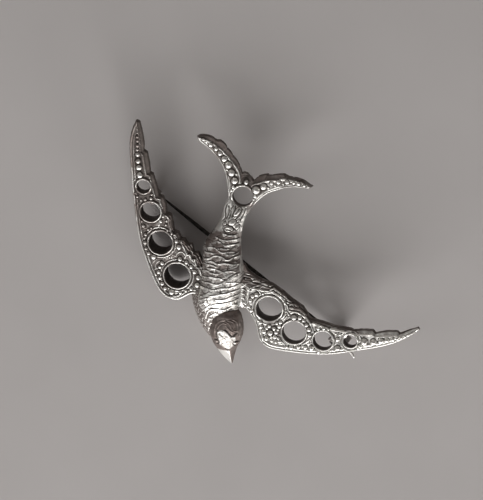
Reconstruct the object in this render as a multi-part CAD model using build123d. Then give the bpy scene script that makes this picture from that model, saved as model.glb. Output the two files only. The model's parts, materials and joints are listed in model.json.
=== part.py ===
from build123d import *

import math
import os
from dataclasses import dataclass

# Swallow brooch of cast white metal, with empty round stone seats and a hinged pin on its back.
# It lies on its breast, its hinge and its catch, beak towards -Y, as it rests by itself.
# Lengths are millimetres and angles are degrees.

# Driving dimensions of the wings, tail prongs and body
LEFT_WING_LENGTH = 36.0
LEFT_WING_CHORD = 8.4
LEFT_WING_LIFT = 3.0
RIGHT_WING_LENGTH = 34.1
RIGHT_WING_CHORD = 9.45
RIGHT_WING_LIFT = 3.5
WING_ROOT_THICKNESS = 2.0
WING_TIP_THICKNESS = 1.2
LEFT_PRONG_LENGTH = 14.5
RIGHT_PRONG_LENGTH = 13.9
PRONG_CHORD = 2.65
LEFT_PRONG_LIFT = 2.5
RIGHT_PRONG_LIFT = 3.4
PRONG_THICKNESS = 1.8
BODY_LENGTH = 21.7
BODY_WIDTH = 8.4
BACK_HEIGHT = 3.0
BELLY_DEPTH = 5.1
BREAST_RADIUS = 3.6
BREAST_HALF_LENGTH = 7.6
BREAST_TURN = 23.0
HEAD_RADIUS = 3.4
HEAD_HALF_LENGTH = 4.9
BEAK_LENGTH = 5.8
BEAK_ROOT_RADIUS = 2.1
BEAK_TIP_RADIUS = 0.2
EYE_DIAMETER = 0.9
EYE_SHARE = 0.45
EYE_ANGLE = 32.0

# Stone seats and the relief on the face
LARGE_SEAT = 5.1
MIDDLE_SEAT = 4.7
SMALL_SEAT = 3.9
TIP_SEAT = 2.65
TAIL_SEAT = 4.0
BEZEL_WALL = 0.45
BEZEL_HEIGHT = 0.45
BEZEL_FOOT = 0.2
TAIL_COLLAR = 0.25
TAIL_COLLAR_TOP = 0.15
TAIL_COLLAR_THICKNESS = 1.4
CROTCH_RADIUS = 1.2
CROTCH_TOP = 0.15
CROTCH_THICKNESS = 1.7
FEATHER_STEP = 0.35
FEATHER_REVEAL = 0.9
RIM_WIDTH = 0.65
RIM_HEIGHT = 0.3
BEAD_SINK = 0.35
BEAD_ROOT = 0.5
BEAD_OVERLAP = 0.12
CLEAR_ABOVE = 3.0
BODY_FEATHER_PITCH = 1.75
BODY_FEATHER_STEP = 0.28
BODY_STEP_SHARE = 0.12

# Pin, hinge and catch
PIN_DIAMETER = 0.8
PIN_POINT_DIAMETER = 0.24
PIN_TAPER_LENGTH = 12.0
PIN_PAST_CATCH = 1.4
RIVET_DIAMETER = 0.8
RIVET_HEAD_DIAMETER = 1.5
RIVET_HEAD_THICKNESS = 0.25
BARREL_DIAMETER = 2.0
BARREL_WIDTH = 1.4
EAR_RADIUS = 1.3
EAR_THICKNESS = 0.7
HINGE_GAP = 0.08
RIVET_GAP = 0.04
HINGE_LEAN = 12.0
SHANK_LENGTH = 2.2
HOOK_BORE = 0.9
HOOK_WALL = 0.5
HOOK_WIDTH = 1.8
HOOK_POST = 1.0
HOOK_MOUTH_ANGLES = [246.0, 290.0, 335.0, 380.0, 435.0]
LUG_WIDTH = 0.8
LUG_THICKNESS = 0.6

# Rest pose: the tail side is higher than the beak side, and the right wing higher than the left
TAIL_PITCH = 4.2
WING_ROLL = 7.2

# Places on the face, seen from the front: across to the right wing and along to the tail
LEFT_ROOT = (-6.37, -3.96)
RIGHT_ROOT = (2.77, -5.66)
TAIL_HOLE = (2.11, 15.32)
TAIL_CROTCH = (2.78, 18.5)
TAIL_END_OF_BODY = 13.2
BREAST_CENTRE = (-3.8, -8.7, -1.856)
HEAD_CENTRE = (-1.2, -11.9, -0.35)
BEAK_ROOT = (-1.2, -14.2, -0.9)
BEAK_DIRECTION = (0.9, -5.6, -1.1)
HINGE_SHARE = (0.545, 0.80)
CATCH_SHARE = (0.567, 0.375)
LUG_START_SHARE = (0.56, 0.70)
LUG_END_SHARE = (0.655, 0.94)

# A blade's curved slab reaches past its root and its tip by these shares of the length
SLAB_SHARES = (-0.16, 0.44, 1.03)


@dataclass
class Blade:
    root: tuple
    angle: float
    side: int
    length: float
    chord: float
    lift: float
    root_thickness: float
    tip_thickness: float
    front: list
    feathers: list
    root_tab: list
    seats: list
    bead_rows: list
    bead_rings: list


# Front edge rows: share of length, share of chord, from the root to the tip.
# Feather rows: share of length and chord at the feather's middle, then at its end, from the tip to the root.
# Seat rows: share of length, share of chord, diameter.
# Bead rows: share of length and chord at the start, then at the end, bulge as a share of chord,
# count, and the first and last diameter.
# Bead rings: seat number, first and last angle from the tip's direction, count and diameter.
LEFT_WING = Blade(
    root=LEFT_ROOT,
    angle=108.4,
    side=1,
    length=LEFT_WING_LENGTH,
    chord=LEFT_WING_CHORD,
    lift=LEFT_WING_LIFT,
    root_thickness=WING_ROOT_THICKNESS,
    tip_thickness=WING_TIP_THICKNESS,
    front=[
        (-0.060, -0.04),
        (-0.010, 0.20),
        (-0.020, 0.55),
        (0.029, 0.875),
        (0.120, 0.98),
        (0.231, 1.00),
        (0.381, 0.965),
        (0.525, 0.83),
        (0.666, 0.675),
        (0.803, 0.49),
        (0.935, 0.255),
        (1.000, 0.02),
    ],
    feathers=[
        (0.930, 0.02, 0.829, 0.15),
        (0.763, 0.125, 0.701, 0.205),
        (0.645, 0.12, 0.572, 0.15),
        (0.520, 0.085, 0.460, 0.135),
        (0.400, 0.115, 0.341, 0.175),
        (0.318, 0.075, 0.283, 0.03),
        (0.150, -0.235, 0.000, -0.10),
    ],
    root_tab=[(0.03, -0.48), (-0.05, -0.42)],
    seats=[
        (0.115, 0.405, LARGE_SEAT),
        (0.320, 0.510, MIDDLE_SEAT),
        (0.501, 0.475, SMALL_SEAT),
        (0.647, 0.415, TIP_SEAT),
    ],
    bead_rows=[
        (0.712, 0.37, 0.962, 0.10, 0, 8, 1.2, 0.6),
        (0.215, 0.78, 0.235, 0.26, 0, 3, 0.8, 0.8),
        (0.412, 0.74, 0.418, 0.24, 0, 3, 0.8, 0.7),
        (0.583, 0.62, 0.583, 0.26, 0, 2, 0.8, 0.8),
    ],
    bead_rings=[
        (0, 95, 275, 9, 0.85),
        (1, 70, 130, 3, 0.8),
        (2, 60, 120, 3, 0.75),
    ],
)

RIGHT_WING = Blade(
    root=RIGHT_ROOT,
    angle=-5.6,
    side=-1,
    length=RIGHT_WING_LENGTH,
    chord=RIGHT_WING_CHORD,
    lift=RIGHT_WING_LIFT,
    root_thickness=WING_ROOT_THICKNESS,
    tip_thickness=WING_TIP_THICKNESS,
    front=[
        (0.001, 0.17),
        (0.050, 0.37),
        (0.078, 0.58),
        (0.098, 0.80),
        (0.142, 0.95),
        (0.225, 1.00),
        (0.384, 0.98),
        (0.530, 0.895),
        (0.673, 0.70),
        (0.813, 0.48),
        (0.930, 0.225),
        (1.000, 0.02),
    ],
    feathers=[
        (0.950, 0.105, 0.883, 0.245),
        (0.825, 0.21, 0.758, 0.325),
        (0.695, 0.285, 0.629, 0.37),
        (0.580, 0.305, 0.531, 0.325),
        (0.445, 0.21, 0.362, 0.20),
        (0.315, 0.035, 0.249, -0.075),
        (0.195, -0.24, 0.127, -0.39),
        (0.055, -0.50, -0.032, -0.74),
    ],
    root_tab=[(-0.13, -0.72), (-0.13, 0.17)],
    seats=[
        (0.138, 0.127, LARGE_SEAT),
        (0.297, 0.555, MIDDLE_SEAT),
        (0.469, 0.630, SMALL_SEAT),
        (0.625, 0.540, TIP_SEAT),
    ],
    bead_rows=[
        (0.705, 0.47, 0.958, 0.13, 0, 9, 1.2, 0.6),
        (0.120, 0.55, 0.195, 0.50, 0, 3, 1.0, 1.0),
        (0.130, 0.69, 0.195, 0.68, 0, 3, 1.0, 1.0),
        (0.155, 0.84, 0.235, 0.86, 0, 3, 1.0, 1.0),
        (0.385, 0.86, 0.395, 0.33, 0, 4, 0.8, 0.8),
        (0.548, 0.74, 0.552, 0.44, 0, 3, 0.75, 0.7),
    ],
    bead_rings=[
        (0, 100, 215, 6, 0.9),
        (1, 60, 120, 4, 0.8),
        (2, 60, 120, 3, 0.75),
    ],
)

LEFT_PRONG_FRONT = [
    (0.000, 1.00),
    (0.127, 0.77),
    (0.238, 0.475),
    (0.356, 0.155),
    (0.479, -0.06),
    (0.595, -0.14),
    (0.700, -0.125),
    (0.800, -0.055),
    (0.900, 0.065),
    (0.970, 0.11),
    (0.993, 0.05),
]

RIGHT_PRONG_FRONT = [
    (0.000, 1.08),
    (0.103, 0.87),
    (0.213, 0.483),
    (0.349, 0.135),
    (0.518, -0.053),
    (0.682, -0.113),
    (0.762, -0.09),
    (0.839, -0.014),
    (0.900, 0.06),
    (0.950, 0.10),
    (0.980, 0.05),
]

LEFT_PRONG = Blade(
    root=TAIL_HOLE,
    angle=124.2,
    side=1,
    length=LEFT_PRONG_LENGTH,
    chord=PRONG_CHORD,
    lift=LEFT_PRONG_LIFT,
    root_thickness=PRONG_THICKNESS,
    tip_thickness=WING_TIP_THICKNESS,
    front=LEFT_PRONG_FRONT,
    feathers=[
        (0.962, -0.340, 0.893, -0.650),
        (0.855, -0.785, 0.807, -0.830),
        (0.752, -1.113, 0.669, -1.113),
        (0.607, -1.162, 0.545, -1.094),
        (0.490, -1.140, 0.428, -1.075),
        (0.366, -1.080, 0.303, -0.943),
        (0.262, -0.868, 0.214, -0.700),
    ],
    root_tab=[(0.0, -0.60)],
    seats=[],
    bead_rows=[(0.225, -0.24, 0.925, -0.20, -0.40, 8, 1.3, 0.6)],
    bead_rings=[],
)

RIGHT_PRONG = Blade(
    root=TAIL_HOLE,
    angle=12.9,
    side=-1,
    length=RIGHT_PRONG_LENGTH,
    chord=PRONG_CHORD,
    lift=RIGHT_PRONG_LIFT,
    root_thickness=PRONG_THICKNESS,
    tip_thickness=WING_TIP_THICKNESS,
    front=RIGHT_PRONG_FRONT,
    feathers=[
        (0.942, -0.113, 0.885, -0.415),
        (0.820, -0.600, 0.748, -0.736),
        (0.705, -0.810, 0.658, -0.925),
        (0.604, -1.125, 0.525, -1.125),
        (0.475, -1.130, 0.428, -1.113),
        (0.381, -1.275, 0.309, -1.226),
        (0.237, -1.113, 0.158, -0.790),
    ],
    root_tab=[(0.0, -0.60)],
    seats=[],
    bead_rows=[(0.215, -0.30, 0.930, -0.12, -0.42, 8, 1.3, 0.6)],
    bead_rings=[],
)

# Body sections from the tail to the neck: share of body length, then shares of body width for the
# sideways place and the half width, share of back height, and share of belly depth
BODY_SECTIONS = [
    (-0.06, 0.15, 0.265, 0.10, 0.27),
    (0.00, 0.09, 0.285, 0.16, 0.29),
    (0.12, 0.01, 0.285, 0.27, 0.39),
    (0.28, -0.175, 0.38, 0.47, 0.59),
    (0.39, -0.245, 0.445, 0.63, 0.72),
    (0.50, -0.235, 0.47, 0.77, 0.81),
    (0.61, -0.22, 0.50, 0.87, 0.88),
    (0.72, -0.26, 0.48, 0.94, 0.96),
    (0.84, -0.34, 0.50, 1.00, 1.00),
    (1.00, -0.32, 0.47, 0.83, 0.98),
    (1.12, -0.24, 0.43, 0.55, 0.88),
]


def surface_height(blade, share):
    """Height of a blade's face above the wings' plane."""
    return blade.lift * share * abs(share)


def blade_point(blade, share, chord_share):
    return (share * blade.length, blade.side * chord_share * blade.chord)


def plate_at(blade, share):
    """Thickness of a blade's plate."""
    return blade.root_thickness + (blade.tip_thickness - blade.root_thickness) * max(share, 0)


def blade_location(blade):
    return Location((*blade.root, 0), (0, 0, blade.angle))


def blade_outline(blade):
    """Face with a smooth front edge and a scalloped feather edge."""
    front = [blade_point(blade, *row) for row in blade.front]
    edges = [Spline(*front)]
    last = front[-1]
    for middle_share, middle_chord, end_share, end_chord in blade.feathers:
        middle = blade_point(blade, middle_share, middle_chord)
        end = blade_point(blade, end_share, end_chord)
        edges.append(ThreePointArc(last, middle, end))
        last = end
    corners = [last] + [blade_point(blade, *row) for row in blade.root_tab] + [front[0]]
    edges += [Line(a, b) for a, b in zip(corners, corners[1:])]
    return make_face(edges)


def slab_profile(blade, top, bottom):
    """Face between two heights over the blade's curved surface, drawn along its length."""
    upper = [(s * blade.length, surface_height(blade, s) + top(s)) for s in SLAB_SHARES]
    lower = [(s * blade.length, surface_height(blade, s) + bottom(s)) for s in SLAB_SHARES]
    return make_face(
        [
            ThreePointArc(*upper),
            Line(upper[2], lower[2]),
            ThreePointArc(lower[2], lower[1], lower[0]),
            Line(lower[0], upper[0]),
        ]
    )


def blade_slab(blade, top, bottom):
    return extrude(Plane.XZ * slab_profile(blade, top, bottom), amount=3 * blade.chord, both=True)


def cut_from_slab(blade, outline, top, bottom):
    reach = blade.lift + blade.root_thickness + 2 * CLEAR_ABOVE
    return extrude(outline, amount=reach, both=True) & blade_slab(blade, top, bottom)


def blade_plate(blade):
    """Plate with its rim left standing at the front edge and its feather tips cut down one step."""
    outline = blade_outline(blade)
    plate = cut_from_slab(blade, outline, lambda s: RIM_HEIGHT, lambda s: -plate_at(blade, s))
    field = Pos(0, -blade.side * RIM_WIDTH, 0) * outline
    plate -= cut_from_slab(blade, field, lambda s: CLEAR_ABOVE, lambda s: 0)
    past_tips = Pos(0, -blade.side * blade.chord / 3, 0) * outline
    upper_row = Pos(0, blade.side * FEATHER_REVEAL, 0) * outline
    tips = past_tips - upper_row
    return plate - cut_from_slab(blade, tips, lambda s: CLEAR_ABOVE, lambda s: -FEATHER_STEP)


def on_face(blade, share, chord_share):
    """Location on a blade's face with its Z axis along the face's normal."""
    slope = 2 * blade.lift * abs(share) / blade.length
    x, y = blade_point(blade, share, chord_share)
    return Location((x, y, surface_height(blade, share)), (0, -math.degrees(math.atan(slope)), 0))


def seat_sleeve(radius, thickness):
    return Pos(0, 0, -thickness - BEZEL_FOOT) * Cylinder(
        radius + BEZEL_WALL,
        thickness + BEZEL_FOOT + BEZEL_HEIGHT,
        align=(Align.CENTER, Align.CENTER, Align.MIN),
    )


def seat_bore(radius):
    return Cylinder(radius, 4 * WING_ROOT_THICKNESS)


def bead(diameter):
    """Round bead on the face, its lower half carried down into the plate."""
    radius = diameter / 2
    middle = diameter * (0.5 - BEAD_SINK)
    diagonal = radius * math.sqrt(0.5)
    profile = make_face(
        [
            Line((0, -BEAD_ROOT), (radius, -BEAD_ROOT)),
            Line((radius, -BEAD_ROOT), (radius, middle)),
            ThreePointArc((radius, middle), (diagonal, middle + diagonal), (0, middle + radius)),
            Line((0, middle + radius), (0, -BEAD_ROOT)),
        ]
    )
    return revolve(Plane.XZ * profile, Axis.Z)


def blade_beads(blade):
    beads = []
    for s0, c0, s1, c1, bulge, count, first, last in blade.bead_rows:
        for i in range(count):
            k = i / (count - 1)
            chord_share = c0 + (c1 - c0) * k + 4 * bulge * k * (1 - k)
            place = on_face(blade, s0 + (s1 - s0) * k, chord_share)
            beads.append(place * bead(first + (last - first) * k))
    for number, first_angle, last_angle, count, diameter in blade.bead_rings:
        share, chord_share, seat = blade.seats[number]
        ring = seat / 2 + BEZEL_WALL + diameter * (0.5 - BEAD_OVERLAP)
        for i in range(count):
            angle = math.radians(first_angle + (last_angle - first_angle) * i / (count - 1))
            place = on_face(
                blade,
                share + ring * math.cos(angle) / blade.length,
                chord_share + ring * math.sin(angle) / blade.chord,
            )
            beads.append(place * bead(diameter))
    return beads


def blade_solid(blade):
    """Plate, bezels and beads of a wing or prong, in its own frame."""
    solid = blade_plate(blade)
    sleeves = [
        on_face(blade, share, chord_share) * seat_sleeve(seat / 2, plate_at(blade, share))
        for share, chord_share, seat in blade.seats
    ]
    if sleeves:
        solid += sleeves
    return solid + blade_beads(blade)


def blade_bores(blade):
    return [on_face(blade, s, c) * seat_bore(seat / 2) for s, c, seat in blade.seats]


def body_section_at(share):
    """Row of body values at a share of its length, straight between the table's rows."""
    for low, high in zip(BODY_SECTIONS, BODY_SECTIONS[1:]):
        if share <= high[0]:
            break
    k = (share - low[0]) / (high[0] - low[0])
    return [a + (b - a) * k for a, b in zip(low[1:], high[1:])]


def body_ellipse(share, raised):
    """Section of the body, its back raised by a feather's thickness."""
    shift, half_width, top, bottom = body_section_at(share)
    high = top * BACK_HEIGHT + raised
    low = -bottom * BELLY_DEPTH
    along = TAIL_END_OF_BODY - share * BODY_LENGTH
    plane = Plane(
        origin=(shift * BODY_WIDTH, along, (high + low) / 2), x_dir=(1, 0, 0), z_dir=(0, -1, 0)
    )
    return plane * Ellipse(half_width * BODY_WIDTH + raised / 2, (high - low) / 2)


def make_body():
    """Body with a step at the free end of each row of feathers, which point to the tail."""
    last_share = BODY_SECTIONS[-1][0]
    rows = int(last_share * BODY_LENGTH / BODY_FEATHER_PITCH)
    step_length = BODY_STEP_SHARE * BODY_FEATHER_PITCH
    sections = [body_ellipse(BODY_SECTIONS[0][0], 0)]
    for row in range(rows):
        along = (row + 0.5) * BODY_FEATHER_PITCH
        sections.append(body_ellipse(along / BODY_LENGTH, 0))
        sections.append(body_ellipse((along + step_length) / BODY_LENGTH, BODY_FEATHER_STEP))
    sections.append(body_ellipse(last_share, 0))
    return loft(sections, ruled=True)


def spheroid(radius, half_length):
    """Solid of revolution about Y."""
    half = make_face(
        [
            EllipticalCenterArc((0, 0), radius, half_length, start_angle=-90, arc_size=180),
            Line((0, half_length), (0, -half_length)),
        ]
    )
    return revolve(half, Axis.Y)


def make_head():
    direction = Vector(*BEAK_DIRECTION).normalized()
    beak_plane = Plane(origin=BEAK_ROOT, x_dir=(1, 0, 0), z_dir=direction)
    beak = beak_plane * Cone(
        BEAK_ROOT_RADIUS,
        BEAK_TIP_RADIUS,
        BEAK_LENGTH,
        align=(Align.CENTER, Align.CENTER, Align.MIN),
    )
    around = math.radians(EYE_ANGLE)
    ring = HEAD_RADIUS * math.sqrt(1 - EYE_SHARE**2)
    forward = -EYE_SHARE * HEAD_HALF_LENGTH
    eyes = [
        Pos(*HEAD_CENTRE)
        * Pos(side * ring * math.cos(around), forward, ring * math.sin(around))
        * Sphere(EYE_DIAMETER / 2)
        for side in (-1, 1)
    ]
    return [Pos(*HEAD_CENTRE) * spheroid(HEAD_RADIUS, HEAD_HALF_LENGTH), beak] + eyes


def tail_seat():
    """Bezel of the tail's stone on a collar that joins the prongs to the body."""
    collar = Pos(0, 0, -TAIL_COLLAR_TOP - TAIL_COLLAR_THICKNESS) * Cylinder(
        TAIL_SEAT / 2 + BEZEL_WALL + TAIL_COLLAR,
        TAIL_COLLAR_THICKNESS,
        align=(Align.CENTER, Align.CENTER, Align.MIN),
    )
    return Pos(*TAIL_HOLE, 0) * (seat_sleeve(TAIL_SEAT / 2, PRONG_THICKNESS) + collar)


def tail_crotch():
    """Round lobe between the roots of the prongs."""
    lobe = Cylinder(CROTCH_RADIUS, CROTCH_THICKNESS, align=(Align.CENTER, Align.CENTER, Align.MAX))
    return Pos(*TAIL_CROTCH, CROTCH_TOP) * lobe


def make_lug(blade):
    """Strip on the back of the wing that runs from the hinge past the front edge."""
    start = Vector(*blade_point(blade, *LUG_START_SHARE))
    end = Vector(*blade_point(blade, *LUG_END_SHARE))
    along = end - start
    share, chord_share = [(a + b) / 2 for a, b in zip(LUG_START_SHARE, LUG_END_SHARE)]
    turn = math.degrees(math.atan2(along.Y, along.X))
    place = on_face(blade, share, chord_share) * Pos(0, 0, -plate_at(blade, share))
    return place * Rot(0, 0, turn) * Box(along.length, LUG_WIDTH, LUG_THICKNESS)


def make_bird():
    """Cast bird in the wings' own plane, before it is laid down."""
    breast = Pos(*BREAST_CENTRE) * Rot(0, 0, BREAST_TURN) * spheroid(BREAST_RADIUS, BREAST_HALF_LENGTH)
    bird = make_body() + breast
    bird += make_head()
    bird += tail_seat()
    bird += tail_crotch()
    bores = [Pos(*TAIL_HOLE, 0) * seat_bore(TAIL_SEAT / 2)]
    for blade in (LEFT_WING, RIGHT_WING, LEFT_PRONG, RIGHT_PRONG):
        bird += blade_location(blade) * blade_solid(blade)
        bores += [blade_location(blade) * bore for bore in blade_bores(blade)]
    bird += blade_location(RIGHT_WING) * make_lug(RIGHT_WING)
    return bird - bores


def lay_down(bird):
    """Location that turns the bird to its rest pose with its breast on the floor."""
    turned = Rot(TAIL_PITCH, -WING_ROLL, 0)
    lowest = (turned * bird).bounding_box().min.Z
    return Pos(0, 0, -lowest) * turned


def face_place(rest, blade, shares):
    """Point on a blade's face in the rest pose, and the face's plane normal there."""
    x, y = blade_point(blade, *shares)
    top = (rest * blade_location(blade) * Pos(x, y, surface_height(blade, shares[0]))).position
    normal = (rest * Pos(0, 0, 1)).position - rest.position
    return top, normal


def behind(rest, blade, shares, height):
    """Point at a height over the floor, straight behind a place on a blade's face."""
    top, normal = face_place(rest, blade, shares)
    return top - normal * ((top.Z - height) / normal.Z)


def inside_plate(rest, blade, shares):
    top, normal = face_place(rest, blade, shares)
    return top - normal * (plate_at(blade, shares[0]) / 2)


def hinge_half_width():
    return BARREL_WIDTH / 2 + HINGE_GAP + EAR_THICKNESS


def pivot_height():
    """Height of the rivet's centre when the leaning ears just touch the floor."""
    lean = math.radians(HINGE_LEAN)
    return EAR_RADIUS * math.cos(lean) + hinge_half_width() * math.sin(lean)


def hook_radius():
    return HOOK_BORE / 2 + HOOK_WALL


def find_pin_plane(rest):
    """Plane at the rivet's centre, X along the closed pin to the catch and Z up to the wings."""
    pivot = behind(rest, RIGHT_WING, HINGE_SHARE, pivot_height())
    catch = behind(rest, LEFT_WING, CATCH_SHARE, hook_radius())
    along = (catch - pivot).normalized()
    across = Vector(0, 0, 1).cross(along).normalized()
    plane = Plane(origin=pivot, x_dir=along, z_dir=along.cross(across))
    return plane, (catch - pivot).length


def leaning(plane):
    """Frame of the rivet, its Y axis along the rivet, leaned so that the pin clears the hook."""
    return plane.location * Rot(HINGE_LEAN, 0, 0)


def across_cylinder(radius, width):
    return Rot(90, 0, 0) * Cylinder(radius, width)


def make_hinge(frame, plate_height):
    """Two ears on a shank that is soldered to the back of the right wing."""
    half_width = hinge_half_width()
    bridge = BARREL_DIAMETER / 2 + HINGE_GAP
    shank = Pos(0, 0, bridge) * Box(
        SHANK_LENGTH,
        2 * half_width,
        plate_height - bridge,
        align=(Align.CENTER, Align.CENTER, Align.MIN),
    )
    solids = [shank]
    for side in (-1, 1):
        middle = side * (half_width - EAR_THICKNESS / 2)
        solids.append(Pos(0, middle, 0) * across_cylinder(EAR_RADIUS, EAR_THICKNESS))
        solids.append(
            Pos(0, middle, 0)
            * Box(
                SHANK_LENGTH,
                EAR_THICKNESS,
                2 * bridge,
                align=(Align.CENTER, Align.CENTER, Align.MIN),
            )
        )
    hole = across_cylinder(RIVET_DIAMETER / 2 + RIVET_GAP, 3 * half_width)
    return frame * (solids[0] + solids[1:] - hole)


def make_catch(plane, reach, plate_height):
    """Open hook on a post that is soldered to the back of the left wing."""
    outer = hook_radius()
    far = 6 * outer
    mouth = [(0, 0)]
    for angle in HOOK_MOUTH_ANGLES:
        mouth.append((far * math.cos(math.radians(angle)), far * math.sin(math.radians(angle))))
    hook = Circle(outer) - Circle(HOOK_BORE / 2) - make_face(Polyline(*mouth, close=True))
    post_foot = HOOK_BORE / 2 + HOOK_WALL / 2
    post_middle = (HOOK_WALL - outer) / 2
    post = Pos(post_middle, (post_foot + plate_height) / 2) * Rectangle(
        HOOK_POST, plate_height - post_foot
    )
    section = Plane(
        origin=plane.origin + plane.x_dir * reach, x_dir=plane.y_dir, z_dir=plane.x_dir
    )
    return extrude(section * (hook + post), amount=HOOK_WIDTH / 2, both=True)


def make_pin(plane, frame, reach):
    """Pin stem with its barrel, tapered to a point just past the catch."""
    length = reach + PIN_PAST_CATCH
    start = BARREL_DIAMETER / 4
    straight = length - PIN_TAPER_LENGTH - start
    radius = PIN_DIAMETER / 2
    stem = Cylinder(radius, straight, align=(Align.CENTER, Align.CENTER, Align.MIN))
    point = Pos(0, 0, straight) * Cone(
        radius,
        PIN_POINT_DIAMETER / 2,
        PIN_TAPER_LENGTH,
        align=(Align.CENTER, Align.CENTER, Align.MIN),
    )
    wire = plane.location * Pos(start, 0, 0) * Rot(0, 90, 0) * (stem + point)
    barrel = frame * across_cylinder(BARREL_DIAMETER / 2, BARREL_WIDTH)
    hole = frame * across_cylinder(RIVET_DIAMETER / 2 + RIVET_GAP, 2 * BARREL_WIDTH)
    return wire + barrel - hole


def make_rivet(frame):
    half_width = hinge_half_width() + RIVET_GAP
    rivet = across_cylinder(RIVET_DIAMETER / 2, 2 * half_width)
    heads = [
        Pos(0, side * (half_width + RIVET_HEAD_THICKNESS / 2), 0)
        * across_cylinder(RIVET_HEAD_DIAMETER / 2, RIVET_HEAD_THICKNESS)
        for side in (-1, 1)
    ]
    return frame * (rivet + heads)


def local_height(frame, point):
    """Height of a point in a frame."""
    return (frame.inverse() * Location(point)).position.Z


def make_nodes():
    bird = make_bird()
    rest = lay_down(bird)
    plane, reach = find_pin_plane(rest)
    frame = leaning(plane)
    hinge_plate = local_height(frame, inside_plate(rest, RIGHT_WING, HINGE_SHARE))
    catch_plate = local_height(plane.location, inside_plate(rest, LEFT_WING, CATCH_SHARE))
    findings = [make_hinge(frame, hinge_plate), make_catch(plane, reach, catch_plate)]
    swallow = rest * bird + findings
    box = swallow.bounding_box()
    centre = Pos(-box.center().X, -box.center().Y, -box.min.Z)
    nodes = {
        "swallow": swallow,
        "pin_stem": make_pin(plane, frame, reach),
        "hinge_rivet": make_rivet(frame),
    }
    return {name: centre * shape for name, shape in nodes.items()}, centre * frame


os.makedirs("parts", exist_ok=True)
nodes, rivet_frame = make_nodes()
for node_name, node_shape in nodes.items():
    export_step(node_shape, f"parts/{node_name}.step")
    print(node_name, len(node_shape.solids()), "solid", round(node_shape.volume, 2), "mm3")
print("pin turns at", rivet_frame.position, "about", Plane(rivet_frame).y_dir)
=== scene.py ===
import json
import math

import bmesh
import bpy
import numpy as np
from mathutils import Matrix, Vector
from mathutils.geometry import delaunay_2d_cdt


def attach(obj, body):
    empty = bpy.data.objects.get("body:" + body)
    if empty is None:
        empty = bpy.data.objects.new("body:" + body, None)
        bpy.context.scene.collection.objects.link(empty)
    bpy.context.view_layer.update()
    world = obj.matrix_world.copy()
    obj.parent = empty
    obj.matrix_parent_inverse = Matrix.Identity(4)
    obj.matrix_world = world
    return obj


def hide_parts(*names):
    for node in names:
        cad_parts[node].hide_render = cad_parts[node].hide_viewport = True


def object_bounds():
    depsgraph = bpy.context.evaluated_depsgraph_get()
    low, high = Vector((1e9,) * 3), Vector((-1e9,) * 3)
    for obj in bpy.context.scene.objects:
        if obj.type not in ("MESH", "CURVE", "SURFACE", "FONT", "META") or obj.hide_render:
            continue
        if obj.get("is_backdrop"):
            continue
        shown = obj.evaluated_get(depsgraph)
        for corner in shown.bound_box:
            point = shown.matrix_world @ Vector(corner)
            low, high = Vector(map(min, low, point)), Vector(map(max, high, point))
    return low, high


# Looks of the swallow brooch. Lengths are millimetres until a mesh is made, and angles are degrees.

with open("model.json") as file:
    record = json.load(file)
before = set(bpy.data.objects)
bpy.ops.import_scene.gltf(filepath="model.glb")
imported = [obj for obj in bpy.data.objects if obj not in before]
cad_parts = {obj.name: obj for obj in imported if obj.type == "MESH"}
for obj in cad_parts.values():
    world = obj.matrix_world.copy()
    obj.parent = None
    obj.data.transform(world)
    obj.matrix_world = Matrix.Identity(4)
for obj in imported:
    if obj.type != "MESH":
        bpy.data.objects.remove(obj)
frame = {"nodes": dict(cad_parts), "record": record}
cad_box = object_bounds()

MM = 0.001
GRID = 0.115
LOOP_STEP = 0.1
SMALL = 1e-9

# Rest pose of the wings' plane in the part's frame
WINGS_ORIGIN = np.array([-8.282, -5.210, 6.550])
TAIL_PITCH = 4.2
WING_ROLL = 7.2

BIRD = "bird"
CELL_PRIMES = np.array([73856093, 19349663, 83492791], np.int64)
SEED_STEP = 668265263
MIXER = 1274126177
BATCH = 4000


def turn_x(degrees):
    a = math.radians(degrees)
    return np.array([[1, 0, 0], [0, math.cos(a), -math.sin(a)], [0, math.sin(a), math.cos(a)]])


def turn_y(degrees):
    a = math.radians(degrees)
    return np.array([[math.cos(a), 0, math.sin(a)], [0, 1, 0], [-math.sin(a), 0, math.cos(a)]])


def turn_z(degrees):
    a = math.radians(degrees)
    return np.array([[math.cos(a), -math.sin(a), 0], [math.sin(a), math.cos(a), 0], [0, 0, 1]])


REST_TURN = turn_x(TAIL_PITCH) @ turn_y(-WING_ROLL)


def to_part(points):
    """Points of the wings' own frame in the part's frame."""
    return points @ REST_TURN.T + WINGS_ORIGIN


# Numbers over the plane


def soft_step(x):
    x = np.clip(x, 0, 1)
    return x * x * (3 - 2 * x)


def table(x, rows):
    rows = np.array(rows, float)
    return np.interp(x, rows[:, 0], rows[:, 1])


def hashed(cells, seed):
    """Pseudo-random value from -1 to 1 for each whole-numbered cell."""
    h = (cells.astype(np.int64) * CELL_PRIMES[: cells.shape[1]]).sum(1) + seed * SEED_STEP
    h = (h ^ (h >> 13)) & 0xFFFFFFFF
    h = (h * MIXER) & 0xFFFFFFFF
    h = (h ^ (h >> 16)) & 0xFFFF
    return h / 32767.5 - 1


def noise(points, size, seed):
    """Smooth noise from -1 to 1 whose lumps are about that size."""
    p = np.asarray(points, float) / size
    base = np.floor(p)
    f = soft_step(p - base)
    total = np.zeros(len(p))
    for corner in np.ndindex(*(2,) * p.shape[1]):
        corner = np.array(corner)
        weight = np.where(corner == 1, f, 1 - f).prod(1)
        total += weight * hashed(base + corner, seed)
    return total


def apart(points, x, y):
    """Distance of each point from one place."""
    return np.hypot(points[:, 0] - x, points[:, 1] - y)


def off_direction(points, toward):
    """Angles of points from a direction, all in radians."""
    return np.angle(np.exp(1j * (np.arctan2(points[:, 1], points[:, 0]) - toward)))


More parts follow.
